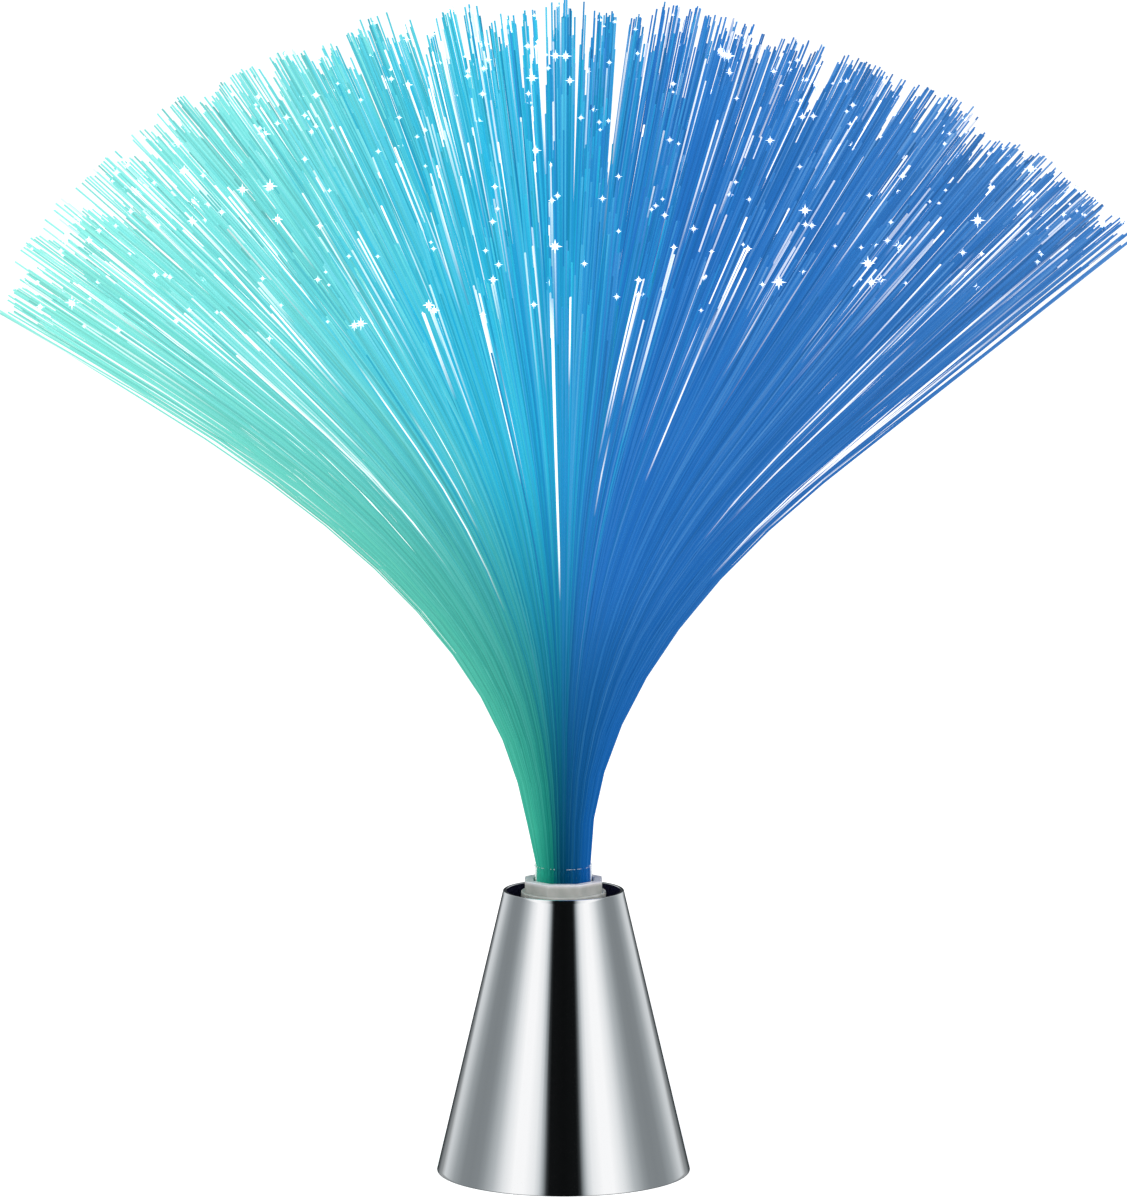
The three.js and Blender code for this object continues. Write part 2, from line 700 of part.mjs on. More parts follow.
// A domed LED with its two leads.
function makeLed() {
  const radius = ledDiameter / 2;
  const brimRadius = ledFlangeDiameter / 2;
  const dome = Array.from({ length: ledDomeSteps }, (_, i) => {
    const angle = (Math.PI / 2) * (i / ledDomeSteps);
    return [radius * Math.cos(angle), ledTop - radius + radius * Math.sin(angle)];
  });
  const body = turned([
    [0, ledZ],
    [brimRadius, ledZ],
    [brimRadius, ledZ + ledFlangeHeight],
    [radius, ledZ + ledFlangeHeight],
    ...dome,
    [0, ledTop],
  ]);
  const lead = block(leadWidth, leadWidth, boardZ - leadProud, ledZ + leadWidth);
  return joined(body, shifted(lead, [leadPitch / 2, 0]), shifted(lead, [-leadPitch / 2, 0]));
}

function makeChip() {
  return shifted(block(chipLength, chipWidth, ledZ, ledZ + chipHeight), [-chipShift, 0]);
}

function makeResistor() {
  return shifted(block(resistorLength, resistorWidth, ledZ, ledZ + resistorHeight), [0, -resistorShift]);
}

// The black socket: a bell over the board, a neck round the LED, and a cup that the collar turns in.
function makeSocket() {
  const body = turned([
    [tubeBoreRadius, socketZ],
    [tubeRadius, socketZ],
    [tubeRadius, bellTop],
    [cupRadius, cupFloor],
    [cupRadius, socketTop],
    [cupBoreRadius, socketTop],
    [cupBoreRadius, cupFloor],
    [windowRadius, cupFloor],
    [windowRadius, cupFloor - socketWall],
    [cupBoreRadius, cupFloor - socketWall],
    [tubeBoreRadius, bellTop - socketWall / 2],
  ]);
  const ear = joined(
    arm(tubeRadius - socketWall / 2, socketScrewRadius, socketEarDiameter, socketZ, socketEarTop),
    shifted(disc(socketEarDiameter / 2, socketZ, socketEarTop, smallSegments), [socketScrewRadius, 0]),
  );
  const earHole = shifted(
    disc(socketScrewDiameter / 2 + fitGap, socketZ - overrun, socketEarTop + overrun, smallSegments),
    [socketScrewRadius, 0],
  );
  const wireSlot = arm(
    tubeBoreRadius - overrun,
    tubeRadius + overrun,
    switchPinPitch + wireDiameter + 2 * wireSlotSide,
    socketZ - overrun,
    wireLevel + wireDiameter / 2 + wireSlotSide,
  );
  return cut(joined(body, ...spunCopies(ear, socketScrewAzimuths)), ...spunCopies(earHole, socketScrewAzimuths), wireSlot);
}

// The white collar: a spigot with a lip for the ferrule, a round flange and an eight-sided head with a flat to the front.
function makeCollar() {
  const spigot = turned([
    [collarBoreRadius - collarLipWidth, collarZ],
    [spigotRadius, collarZ],
    [spigotRadius, flangeZ],
    [flangeRadius, flangeZ],
    [flangeRadius, flangeTop, collarHeadChamfer],
    [collarBoreRadius, flangeTop],
    [collarBoreRadius, lipTop],
    [collarBoreRadius - collarLipWidth, lipTop],
  ]);
  const headZ = flangeTop - collarFlangeThickness / 2;
  const head = turned(
    [[0, headZ], [headRadius, headZ], [headRadius, collarTop, collarHeadChamfer], [0, collarTop]],
    collarHeadSides,
  );
  const bore = disc(collarBoreRadius, headZ - overrun, collarTop + overrun);
  return joined(spigot, cut(spun(head, 180 / collarHeadSides), bore));
}

const makeFerrule = () => ring(ferruleRadius, ferruleBoreRadius, bundleZ, ferruleTop);
const makeSleeve = () => ring(ferruleRadius, ferruleBoreRadius, ferruleTop + seatGap, bundleTop + sleeveProud);

// The share of its way out that a fibre has covered at a share of its climb: a parabola to the end of the bend, then a
// straight line.
const shareOut = (climb, bendEnd) => (climb < bendEnd ? climb ** 2 / bendEnd : 2 * climb - bendEnd) / (2 - bendEnd);

// One fibre: it leaves the bundle straight up, bends outwards and runs on straight. Its tip lies on the crown, which
// falls from the middle to the sides, or a little short of it.
function makeFibre(ringNumber, azimuth, seed) {
  const [inward, aside, shorter] = scatterShares.map((share) => (seed * share) % 1);
  const rootRadius = ringNumber * fibreRingPitch;
  const tipShare = (ringNumber - tipJitterShare * inward) / fibreRings;
  const turn = THREE.MathUtils.radToDeg((tipJitterShare * (aside - 0.5) * fibrePitch) / rootRadius);
  const root = at(rootRadius, azimuth);
  const tip = at(fountainReach * tipShare, azimuth + turn);
  const lean = Math.cos(radians(azimuth));
  const fall = tipShare ** (crownPower - crownPowerTilt * lean);
  const rise = lerp(crownRise, sideRise + sideRiseTilt * lean, fall);
  const bendEnd = bendEndShare - bendTiltShare * lean;
  const pointAt = (climb) => {
    const out = shareOut(climb, bendEnd);
    return new THREE.Vector3(lerp(root[0], tip[0], out), lerp(root[1], tip[1], out), bundleTop + rise * climb);
  };
  const levels = ringNumber > fibreRings - outerRings ? outerLevelShares : levelShares;
  const climbs = levels.map((share) => (share * crownRise) / rise);
  const foot = new THREE.Vector3(root[0], root[1], bundleTop);
  const points = [foot, ...climbs.map(pointAt), pointAt(1 - tipScatterShare * shorter)];
  const directions = points.map((point, i) => {
    const after = points[Math.min(i + 1, points.length - 1)];
    return after.clone().sub(points[Math.max(i - 1, 0)]).normalize();
  });
  directions[0] = new THREE.Vector3(0, 0, 1);
  const sideways = new THREE.Vector3(-Math.sin(radians(azimuth)), Math.cos(radians(azimuth)), 0);
  return tubeThrough(points, directions, sideways, fibreDiameter, fibreSides);
}

// A quarter of the bundle: its potted end and the fibres that stand on it.
function makeFibres(sector) {
  const middle = sector * sectorAngle;
  const corner = bundleRadius + bundleSplit / 2;
  const quarter = shifted(block(bundleDiameter, bundleDiameter, bundleZ - overrun, bundleTop + overrun), [corner, corner]);
  const pottedEnd = disc(bundleRadius, bundleZ, bundleTop).intersect(spun(quarter, middle - sectorAngle / 2));
  const fibres = [];
  for (let ringNumber = 1; ringNumber <= fibreRings; ringNumber++) {
    const count = Math.floor((radians(sectorAngle) * ringNumber * fibreRingPitch) / fibrePitch);
    for (let i = 0; i < count; i++) {
      const azimuth = middle + sectorAngle * ((i + 0.5) / count - 0.5);
      fibres.push(makeFibre(ringNumber, azimuth, fibres.length + 1 + sector * fibreRings ** 2));
    }
  }
  return joined(pottedEnd, ...fibres);
}

// The switch body: a box that is open below, where the slider runs, with two pins on top.
function makeSwitchHousing() {
  const top = tubeZ + switchHeight;
  const cavityLength = sliderLength + switchTravel + 2 * runGap;
  const cavity = block(sliderWidth + 2 * runGap, cavityLength, tubeZ - overrun, lugZ + sliderHeight + runGap);
  const body = cut(block(switchWidth, switchLength, tubeZ, top), cavity);
  const pin = block(switchPinWidth, switchPinWidth, top - switchPinWidth, top + switchPinHeight);
  const pins = [-1, 1].map((side) => shifted(pin, [0, (side * switchPinPitch) / 2]));
  return shifted(joined(body, ...pins), [switchRadius, 0]);
}

// The slider at the near end of its travel, with its knob in the plate's slot.
function makeSwitchSlider() {
  const knob = block(knobWidth, knobLength, plateZ + knobInset, lugZ + sliderHeight / 2);
  const slider = block(sliderWidth, sliderLength, lugZ, lugZ + sliderHeight);
  return shifted(joined(knob, slider), [switchRadius, -switchTravel / 2]);
}

// A wire from a pin of the switch up beside the tube and through the bell's slot to the board.
function makeSwitchWire(side) {
  const y = (side * switchPinPitch) / 2;
  const startZ = tubeZ + switchHeight + switchPinHeight + seatGap;
  const besideTube = tubeRadius + wireStandoff;
  const bendZ = wireLevel - 2 * wireStandoff;
  const places = [
    [switchRadius, startZ],
    [switchRadius, startZ + wireRiser],
    [(switchRadius + besideTube) / 2, (startZ + wireRiser + bendZ) / 2],
    [besideTube, bendZ],
    [besideTube, wireLevel - wireStandoff],
    [tubeRadius + wireDiameter, wireLevel - wireDiameter / 4],
    [tubeRadius - socketWall, wireLevel],
    [boardRadius - wireInset, wireLevel],
  ];
  const points = places.map(([x, z]) => new THREE.Vector3(x, y, z));
  const route = new THREE.CatmullRomCurve3(points, false, "centripetal");
  const shares = Array.from({ length: wireSteps + 1 }, (_, i) => i / wireSteps);
  return tubeThrough(
    shares.map((share) => route.getPointAt(share)),
    shares.map((share) => route.getTangentAt(share)),
    new THREE.Vector3(0, 1, 0),
    wireDiameter,
    wireSides,
  );
}

const finishes = {
  polishedMetal: { color: 0xd8dade, roughness: 0.08, metalness: 1 },
  blackPlastic: { color: 0x17181b, roughness: 0.45, metalness: 0 },
  rubber: { color: 0x2a2a2c, roughness: 0.9, metalness: 0 },
  steel: { color: 0xa9adb2, roughness: 0.35, metalness: 1 },
  springSteel: { color: 0xbcbfc4, roughness: 0.3, metalness: 1 },
  cellWrap: { color: 0x3b6f4a, roughness: 0.4, metalness: 0.1 },
  board: { color: 0x1f6b3d, roughness: 0.5, metalness: 0 },
  chip: { color: 0x101113, roughness: 0.6, metalness: 0 },
  clearResin: { color: 0xeaf2f5, roughness: 0.1, metalness: 0 },
  milkyNylon: { color: 0xdcdcd6, roughness: 0.35, metalness: 0 },
  aluminium: { color: 0xc4c7cb, roughness: 0.3, metalness: 1 },
  clearSleeve: { color: 0xe6f4f4, roughness: 0.08, metalness: 0 },
  blueFibre: { color: 0x2f78c4, roughness: 0.3, metalness: 0 },
  skyFibre: { color: 0x2aa0cf, roughness: 0.3, metalness: 0 },
  aquaFibre: { color: 0x58c8b8, roughness: 0.3, metalness: 0 },
  redWire: { color: 0xb3201f, roughness: 0.5, metalness: 0 },
};

const lamp = new THREE.Group();

function add(name, solid, finish) {
  const mesh = new THREE.Mesh(geometryOf(solid), new THREE.MeshStandardMaterial(finish));
  mesh.name = name;
  lamp.add(mesh);
}

add("cone_shell", makeShell(), finishes.polishedMetal);
add("base_plate", makeBasePlate(), finishes.blackPlastic);
footAzimuths.forEach((azimuth, i) => add(`foot_${i + 1}`, makeFoot(azimuth), finishes.rubber));
plateScrewAzimuths.forEach((azimuth, i) => add(`plate_screw_${i + 1}`, makePlateScrew(azimuth), finishes.steel));
add("battery_tube", makeBatteryTube(), finishes.blackPlastic);
add("battery_cap", makeBatteryCap(), finishes.blackPlastic);
cellPlaces.forEach((place, i) => add(`cell_${i + 1}`, makeCell(place, i !== 1), finishes.cellWrap));
add("low_bridge_contact", makeLowBridge(), finishes.springSteel);
add("low_return_contact", makeLowReturn(), finishes.springSteel);
add("high_plus_contact", makeHighPlus(), finishes.springSteel);
add("high_bridge_contact", makeHighBridge(), finishes.springSteel);
add("return_strip", makeReturnStrip(), finishes.springSteel);
add("contact_spring_1", makeSpring(cellPlaces[0], lowContactTop, 1), finishes.springSteel);
add("contact_spring_2", makeSpring(cellPlaces[1], highContactZ, -1), finishes.springSteel);
add("contact_spring_3", makeSpring(cellPlaces[2], lowContactTop, 1), finishes.springSteel);
add("driver_board", makeBoard(), finishes.board);
add("driver_chip", makeChip(), finishes.chip);
add("board_resistor", makeResistor(), finishes.chip);
add("colour_led", makeLed(), finishes.clearResin);
add("lamp_socket", makeSocket(), finishes.blackPlastic);
socketScrewAzimuths.forEach((azimuth, i) => add(`socket_screw_${i + 1}`, makeSocketScrew(azimuth), finishes.steel));
add("collar", makeCollar(), finishes.milkyNylon);
add("ferrule", makeFerrule(), finishes.aluminium);
add("clear_sleeve", makeSleeve(), finishes.clearSleeve);
const fibreFinishes = [finishes.blueFibre, finishes.skyFibre, finishes.aquaFibre, finishes.skyFibre];
sectorNames.forEach((name, sector) => add(`fibres_${name}`, makeFibres(sector), fibreFinishes[sector]));
add("switch_housing", makeSwitchHousing(), finishes.blackPlastic);
add("switch_slider", makeSwitchSlider(), finishes.blackPlastic);
add("switch_wire_1", makeSwitchWire(1), finishes.redWire);
add("switch_wire_2", makeSwitchWire(-1), finishes.redWire);

console.log(`Least gap between curls of a contact spring: ${leastSpringGap().toFixed(2)} mm`);

export default lamp;
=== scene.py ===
"""Dresses the packed fibre optic lamp for its picture: chrome cone, milky collar and a fountain of lit fibres.

Lengths are in metres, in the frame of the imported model: +Z up, -Y the front, +X the blue side of the fountain. Where a
value has a least and a greatest number, each piece's own is drawn evenly from between them.
"""
import json
import math

import bpy
import numpy as np
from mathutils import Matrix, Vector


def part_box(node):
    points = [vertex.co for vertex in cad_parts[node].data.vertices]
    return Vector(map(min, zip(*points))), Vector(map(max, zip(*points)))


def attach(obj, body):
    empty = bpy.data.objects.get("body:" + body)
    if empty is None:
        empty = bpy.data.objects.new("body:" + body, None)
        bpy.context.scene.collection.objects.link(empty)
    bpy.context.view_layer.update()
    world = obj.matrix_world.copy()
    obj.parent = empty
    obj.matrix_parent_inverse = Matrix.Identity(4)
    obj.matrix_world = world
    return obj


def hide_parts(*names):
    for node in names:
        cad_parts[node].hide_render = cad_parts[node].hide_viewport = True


MM = 0.001
TINY = 1e-6
ARC_STEPS = 5
ROUND_SEGMENTS = 128

# Cone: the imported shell's radii and wall, with a hem that comes a little lower and a lip thinner than the wall
CONE_BOTTOM_RADIUS = 35 * MM
CONE_TOP_RADIUS = 16.65 * MM
CONE_WALL = 1.3 * MM
CONE_HEM = 0.2 * MM
CONE_DROP = 0.45 * MM
CONE_STRAIGHT = 1.0 * MM
CONE_LIP_WIDTH = 0.9 * MM
CONE_LIP_ROUND = 0.22 * MM
CONE_LIP_DEPTH = 4 * MM
CONE_SEGMENTS = 192

# Collar: an eight-sided head on a round flange, and a round neck below it
HEAD_SIDES = 8
HEAD_ACROSS = 21.3 * MM
HEAD_HEIGHT = 3.4 * MM
HEAD_FOOT_ROUND = 0.05 * MM
HEAD_CORNER_CUT = 0.012
FLANGE_RADIUS = 11.7 * MM
FLANGE_THICKNESS = 2 * MM
NECK_WALL = 1.3 * MM
BORE_RADIUS = 8.25 * MM
COLLAR_ROUND = 0.2 * MM
NYLON_GREYS = ((0.44, 0.45, 0.42), (0.54, 0.54, 0.51))
# Painted light on the collar: the pale colour of its top edge, and the heights over which it takes over from the grey
NYLON_PAINTED_LIGHT = (0.76, 0.73, 0.755)
NYLON_PAINTED_LIGHT_HEIGHTS = (80.8 * MM, 81.8 * MM)

# Sleeve, and the white beads along its edge, which paint dotted highlights on it
SLEEVE_WALL = 0.5 * MM
SLEEVE_ROUND = 0.2 * MM
SLEEVE_PROUD = 0.9 * MM
SLEEVE_PALE = 0.93
BEAD_SEED = 3
BEAD_PLACES = 96
BEAD_SHARE = 0.55
BEAD_RADIUS = 0.13 * MM
BEAD_SIZES = (0.6, 1)
BEAD_STRETCH = 2.2
BEAD_DROP = 0.25 * MM

# Strands
FIBRE_SEED = 7
STRANDS = 5200
STRAND_ROOT_WIDTH = 0.3 * MM
STRAND_TIP_WIDTH = 0.56 * MM
STRAND_STEPS = 14
STRAND_SIDES = 3
STRAND_CUT = 0.06
STRAND_CUT_POWER = 3
ROOT_DEPTH = 4 * MM
SECTORS = {"right": "blue_fibre", "back": "sky_fibre", "left": "aqua_fibre", "front": "sky_fibre"}

# Form of the fountain. A tilt is added on the blue side and taken off on the green side.
BUNDLE_RADIUS = 7.3 * MM
REACH = 160 * MM
CROWN_RISE = 240 * MM
SIDE_RISE = 169 * MM
SIDE_RISE_TILT = 11 * MM
CROWN_POWER = 2.3
CROWN_POWER_TILT = -0.3
CROWN_SPREAD = 0.84
TIP_SCATTER = 0.008
BEND_END = 0.73
BEND_END_TILT = -0.094
BEND_END_SCATTER = 0.02
NECK_BULGE = 1.8 * MM
NECK_BULGE_HEIGHT = 18 * MM

# Tufts in the crown
TUFTS = 190
TUFT_SCATTER = 0.03
TUFT_PULL = 0.55
TUFT_PULL_SHARES = (0.3, 1.3)
TUFT_DEPTH = 0.4
TUFT_CUT = 0.024

# Partings in the crown: where each lies from side to side, and half its width there, in millimetres
PARTINGS = (
    (-118, 0.8), (-101, 1.1), (-88, 0.6), (-71, 1.2), (-50, 1.0), (-41, 2.4), (-29, 1.3), (-13, 0.8), (-6, 1.0),
    (4, 0.7), (17, 2.1), (23, 0.8), (43, 0.5), (60, 1.5), (69, 0.9), (81, 0.7), (97, 1.2), (109, 0.7), (121, 1.2),
    (131, 0.8),
)
PARTING_START = 0.68
PARTING_GROWTH = 1.5
PARTING_FADE = 3

# Lights of the fibres, from the green side (-1) to the blue side (1): the place of each from side to side, its deep
# colour at the foot and its clear colour higher up, as on the screen, and the share of the height where it is clear
FIBRE_LIGHTS = (
    (-1.0, (0.20, 0.65, 0.55), (0.60, 0.95, 0.90), 0.75),  # mint
    (-0.45, (0.05, 0.45, 0.40), (0.45, 0.85, 0.85), 0.6),  # aqua
    (-0.1, (0.00, 0.25, 0.35), (0.15, 0.70, 0.85), 0.5),  # cyan
    (0.2, (0.00, 0.25, 0.40), (0.15, 0.45, 0.75), 0.35),  # azure
    (1.0, (0.05, 0.35, 0.65), (0.30, 0.50, 0.75), 1.0),  # blue
)
LIGHT_SCATTER = 0.05
GLOW_SHARE = 0.84
BODY_SHARE = 0.36
TONE_DARK = 0.085
TONE_PALE = 0.10
TONE_LIMITS = (-1.8, 2.2)
TONE_RIPPLE = 0.6
TONE_AT_FOOT = 0.35

# Painted highlights, as white streaks along strands: long ones round the rim and short ones in the crown. At the rim
# the three chances hold left of both sides, between them and right of both. Beginnings, lengths and fades are shares of
# a strand.
RIM_STREAKS = 95
RIM_STREAK_OUT = 0.86
RIM_STREAK_SIDES = (-0.3, 0.7)
RIM_STREAK_CHANCES = (2.2, 0.6, 2.5)
RIM_STREAK_WIDTHS = (0.5 * MM, 1.3 * MM)
RIM_STREAK_BEGINNINGS = (0.46, 0.82)
RIM_STREAK_LENGTHS = (0.12, 0.5)
RIM_STREAK_STRENGTHS = (0.7, 1.0)
CROWN_STREAKS = 430
CROWN_STREAK_LEFT = -0.1
CROWN_STREAK_LEFT_EXTRA = 0.7
CROWN_STREAK_MIDDLE = -0.15
CROWN_STREAK_MIDDLE_HALF = 0.17
CROWN_STREAK_MIDDLE_EXTRA = 1.0
CROWN_STREAK_WIDTHS = (0.4 * MM, 1.2 * MM)
CROWN_STREAK_BEGINNINGS = (0.72, 0.95)
CROWN_STREAK_STRENGTHS = (0.3, 1.0)
PAINTED_HIGHLIGHT_WHITE = 1.3
STREAK_DEPTH = 0.4
STREAK_SCATTER = 0.02
STREAK_FADE_IN = 0.06
STREAK_FADE_OUT = 0.08

# Bright tips: painted glints, each a glowing ball with thin rays. Sizes of balls are in millimetres, and rays are
# measured in the ball's size.
BIG_GLINTS = 120
SMALL_GLINTS = 420
BIG_GLINT_SIZES = (0.5, 0.85)
SMALL_GLINT_SIZES = (0.24, 0.48)
SMALL_GLINT_PALE = 0.7
GLINT_RAY_START = 0.5
GLINT_RAY_WIDTH = 0.42
GLINT_RAY_LENGTH = 2.5
GLINT_DIAGONAL_LENGTH = 0.75
GLINT_RAY_SIDES = 3
GLINT_RAY_TURN = (0.3, 0.1, 0.2)
GLINT_RAY_PALE = 0.4
GLINT_STRENGTH = 1.1
RIM_GLINT = (0.42, 0.62, 0.78)
RIM_GLINT_START = 0.965

# Studio, as polished metal sees it: brightness at each share of the turn from the front to the back
STUDIO = (
    # the dark strip in front, and its soft edge
    (0.0, 0.004), (0.073, 0.006), (0.088, 0.04), (0.107, 0.34), (0.126, 0.64), (0.152, 0.86),
    # the bright pane beside it
    (0.207, 1.0), (0.262, 1.0), (0.319, 0.81), (0.378, 0.50), (0.44, 0.31),
    # the grey wall
    (0.476, 0.25), (0.53, 0.235), (0.59, 0.25), (0.659, 0.36),
    # the dimmer pane, and the dark back
    (0.743, 0.62), (0.80, 0.68), (0.85, 0.5), (0.885, 0.26), (0.92, 0.10), (1.0, 0.04),
)
STUDIO_COOL = (-0.12, 0.0, 0.06)
# The dark strip widens between these heights, as its angles are scaled.
STUDIO_WIDER_HEIGHTS = (0.242, 0.281)
STUDIO_WIDER_SCALES = (1.0, 0.74)
# The studio is dimmer below the horizon.
STUDIO_DIM = 0.5
STUDIO_DIM_HEIGHTS = (-0.082, -0.047)

# Stage
FLOOR_CORNERS = ((-12, -3, 0), (12, -3, 0), (12, 20, 0), (-12, 20, 0))
FLOOR_LIFT = 0.6
PLAIN_LIGHT = 0.62
SOFT_LAMPS = {"key": ((-0.7, -1.1, 1.5), 14), "fill": ((0.9, -0.9, 1.0), 9)}
SOFT_LAMP_SIZE = 1.2
SOFT_LAMP_AIM = (0, 0, 0.15)

# Camera, at the photo's angle: its place, how many degrees it looks down, and its focal length in pixels of the frame
CAMERA_PLACE = (0, -2.0, 0.4359)
CAMERA_DOWN = 7.87
CAMERA_FOCAL_PIXELS = 7358
CAMERA_FRAME_PIXELS = 1200
CAMERA_SENSOR = 36
CAMERA_FAR = 60


def to_linear(colour):
    """Linear light of a screen colour c: c / 12.92 up to 0.04045, and ((c + 0.055) / 1.055) to the power 2.4 above."""
    c = np.asarray(colour, float)
    return np.where(c <= 0.04045, c / 12.92, ((c + 0.055) / 1.055) ** 2.4)


# Meshes


def mesh_object(name, points, faces, smooth=True):
    """An object of these points and faces."""
    mesh = bpy.data.meshes.new(name)
    mesh.from_pydata(np.asarray(points, float).tolist(), [], faces)
    mesh.polygons.foreach_set("use_smooth", np.full(len(mesh.polygons), smooth))
    mesh.update()
    obj = bpy.data.objects.new(name, mesh)
    bpy.context.scene.collection.objects.link(obj)
    return obj


def colour_points(obj, name, colours):
    """Puts linear colours on an object's points, as a colour attribute."""
    attribute = obj.data.color_attributes.new(name, "FLOAT_COLOR", "POINT")
    values = np.concatenate([colours, np.ones((len(colours), 1))], 1)
    attribute.data.foreach_set("color", values.astype(np.float32).ravel())


def repeated(faces, points_each, count):
    """Faces of so many copies of a shape whose points follow each other: each copy's numbers are points_each higher."""
    return (faces + points_each * np.arange(count)[:, None, None]).reshape(-1, faces.shape[-1]).tolist()


def turned(name, profile, segments, radius_at=None):
    """A closed profile of (r, z) turned round Z: its points lie at (r cos a, r sin a, z) for even steps of the angle a.

    radius_at(a, r, z) may give another radius for each place.
    """
    r, z = np.transpose(profile)
    angle = 2 * math.pi * np.arange(segments)[:, None] / segments
    radius = radius_at(angle, r, z) if radius_at else r + 0 * angle
    points = np.stack([radius * np.cos(angle), radius * np.sin(angle), z + 0 * angle], -1)
    place = np.arange(points[..., 0].size).reshape(segments, len(z))
    beside, ahead = np.roll(place, -1, 0), np.roll(place, -1, 1)
    faces = np.stack([place, beside, np.roll(beside, -1, 1), ahead], -1)
    return mesh_object(name, points.reshape(-1, 3), faces.reshape(-1, 4).tolist())


def rounded(corners):
    """A closed outline as points (r, z), from corners (r, z, radius).

    The points of a rounded corner lie on an arc that touches both of its sides. With s the first touching point as seen
    from the arc's centre, and s' the same turned a quarter, they are centre + s cos t + s' sin t for even steps of t.
    """
    out = []
    for before, (r, z, radius), after in zip(corners[-1:] + corners[:-1], corners, corners[1:] + corners[:1]):
        here = np.array((r, z))
        if not radius:
            out.append(here)
            continue
        back, on = np.array(before[:2]) - here, np.array(after[:2]) - here
        back, on = back / np.linalg.norm(back), on / np.linalg.norm(on)
        half = math.acos(np.clip(back @ on, -1, 1)) / 2
        centre = here + (back + on) / np.linalg.norm(back + on) * radius / math.sin(half)
        start, end = (here + side * radius / math.tan(half) - centre for side in (back, on))
        sweep = math.atan2(start[0] * end[1] - start[1] * end[0], start @ end)
        turn = sweep * np.arange(ARC_STEPS + 1)[:, None] / ARC_STEPS
        out.extend(centre + np.cos(turn) * start + np.sin(turn) * (-start[1], start[0]))
    return out


def ball_shape():
    """A ball of radius 1 as 18 points and 32 triangles.

    Of the directions (x, y, z) with parts of -1, 0 and 1, its points are those with one or two parts other than 0. Each
    eighth of the ball has three axes as its corners and the three middles between them, and four triangles.
    """
    grid = np.stack(np.meshgrid(*[(-1, 0, 1)] * 3, indexing="ij"), -1).reshape(-1, 3)
    parts = np.abs(grid).sum(1)
    used = (parts == 1) | (parts == 2)
    eighths = grid[parts == 3]
    corners = eighths[:, None] * np.eye(3, dtype=int)
    mirrored = eighths.prod(1) < 0
    corners[mirrored] = corners[mirrored][:, ::-1]
    six = np.concatenate([corners, corners + np.roll(corners, -1, 1)], 1)
    number = np.cumsum(used) - 1
    a, b, c, ab, bc, ca = number[(six + 1) @ (9, 3, 1)].T
    faces = np.concatenate([np.stack(face, -1) for face in ((a, ab, ca), (ab, b, bc), (ca, bc, c), (ab, bc, ca))])
    return grid[used] / np.sqrt(parts[used])[:, None], faces


# Materials


def material(name, colour, roughness, metallic=0.0, **sockets):
    """A material with a Principled shader: (material, its nodes, its links, the shader)."""
    mat = bpy.data.materials.new(name)
    mat.use_nodes = True
    nodes, links = mat.node_tree.nodes, mat.node_tree.links
    shader = nodes["Principled BSDF"]
    shader.inputs["Base Color"].default_value = (*colour, 1)
    shader.inputs["Roughness"].default_value = roughness
    shader.inputs["Metallic"].default_value = metallic
    for socket, value in sockets.items():
        shader.inputs[socket.replace("_", " ")].default_value = value
    return mat, nodes, links, shader


def worked_out(nodes, links, operation, *values):
    """The result of an operation on values, each a number or a node's output."""
    node = nodes.new("ShaderNodeMath")
    node.operation = operation
    for socket, value in zip(node.inputs, values):
        if isinstance(value, (int, float)):
            socket.default_value = value
        else:
            links.new(value, socket)
    return node.outputs[0]


def ranged(nodes, links, value, before, after):
    """A value carried evenly from the range before to the range after, and held at their ends."""
    node = nodes.new("ShaderNodeMapRange")
    node.inputs["From Min"].default_value, node.inputs["From Max"].default_value = before
    node.inputs["To Min"].default_value, node.inputs["To Max"].default_value = after
    links.new(value, node.inputs["Value"])
    return node.outputs["Result"]


def mixed_shader(nodes, links, share, first, second):
    """A shader that goes from the first to the second with the share."""
    mix = nodes.new("ShaderNodeMixShader")
    links.new(share, mix.inputs["Fac"])
    links.new(first.outputs[0], mix.inputs[1])
    links.new(second.outputs[0], mix.inputs[2])
    return mix


def parts_of(nodes, links, place):
    """The x, y and z of a place or direction, as a node's outputs."""
    parts = nodes.new("ShaderNodeSeparateXYZ")
    links.new(place, parts.inputs["Vector"])
    return parts.outputs


def follow_points(nodes, links, shader, name, socket):
    """Colours a socket of the shader by the colour attribute on the piece's points."""
    attribute = nodes.new("ShaderNodeAttribute")
    attribute.attribute_name = name
    links.new(attribute.outputs["Color"], shader.inputs[socket])


def add_grain(nodes, links, shader, scale, strength, distance, roughness=None):
    """Bump from fine noise, and roughness that goes between two values with it."""
    place = nodes.new("ShaderNodeTexCoord")
    noise = nodes.new("ShaderNodeTexNoise")
    noise.inputs["Scale"].default_value = scale
    noise.inputs["Detail"].default_value = 4
    links.new(place.outputs["Object"], noise.inputs["Vector"])
    bump = nodes.new("ShaderNodeBump")
    bump.inputs["Strength"].default_value = strength
    bump.inputs["Distance"].default_value = distance
    links.new(noise.outputs["Fac"], bump.inputs["Height"])
    links.new(bump.outputs["Normal"], shader.inputs["Normal"])
    if roughness:
        links.new(ranged(nodes, links, noise.outputs["Fac"], (0, 1), roughness), shader.inputs["Roughness"])
    return noise


def add_mottle(nodes, links, shader, noise, first, second):
    """Base colour that goes between two colours with a noise. Returns the output that carries it."""
    ramp = nodes.new("ShaderNodeValToRGB")
    ramp.color_ramp.elements[0].position, ramp.color_ramp.elements[1].position = 0.35, 0.65
    ramp.color_ramp.elements[0].color, ramp.color_ramp.elements[1].color = (*first, 1), (*second, 1)
    links.new(noise.outputs["Fac"], ramp.inputs["Fac"])
    links.new(ramp.outputs["Color"], shader.inputs["Base Color"])
    return ramp.outputs["Color"]


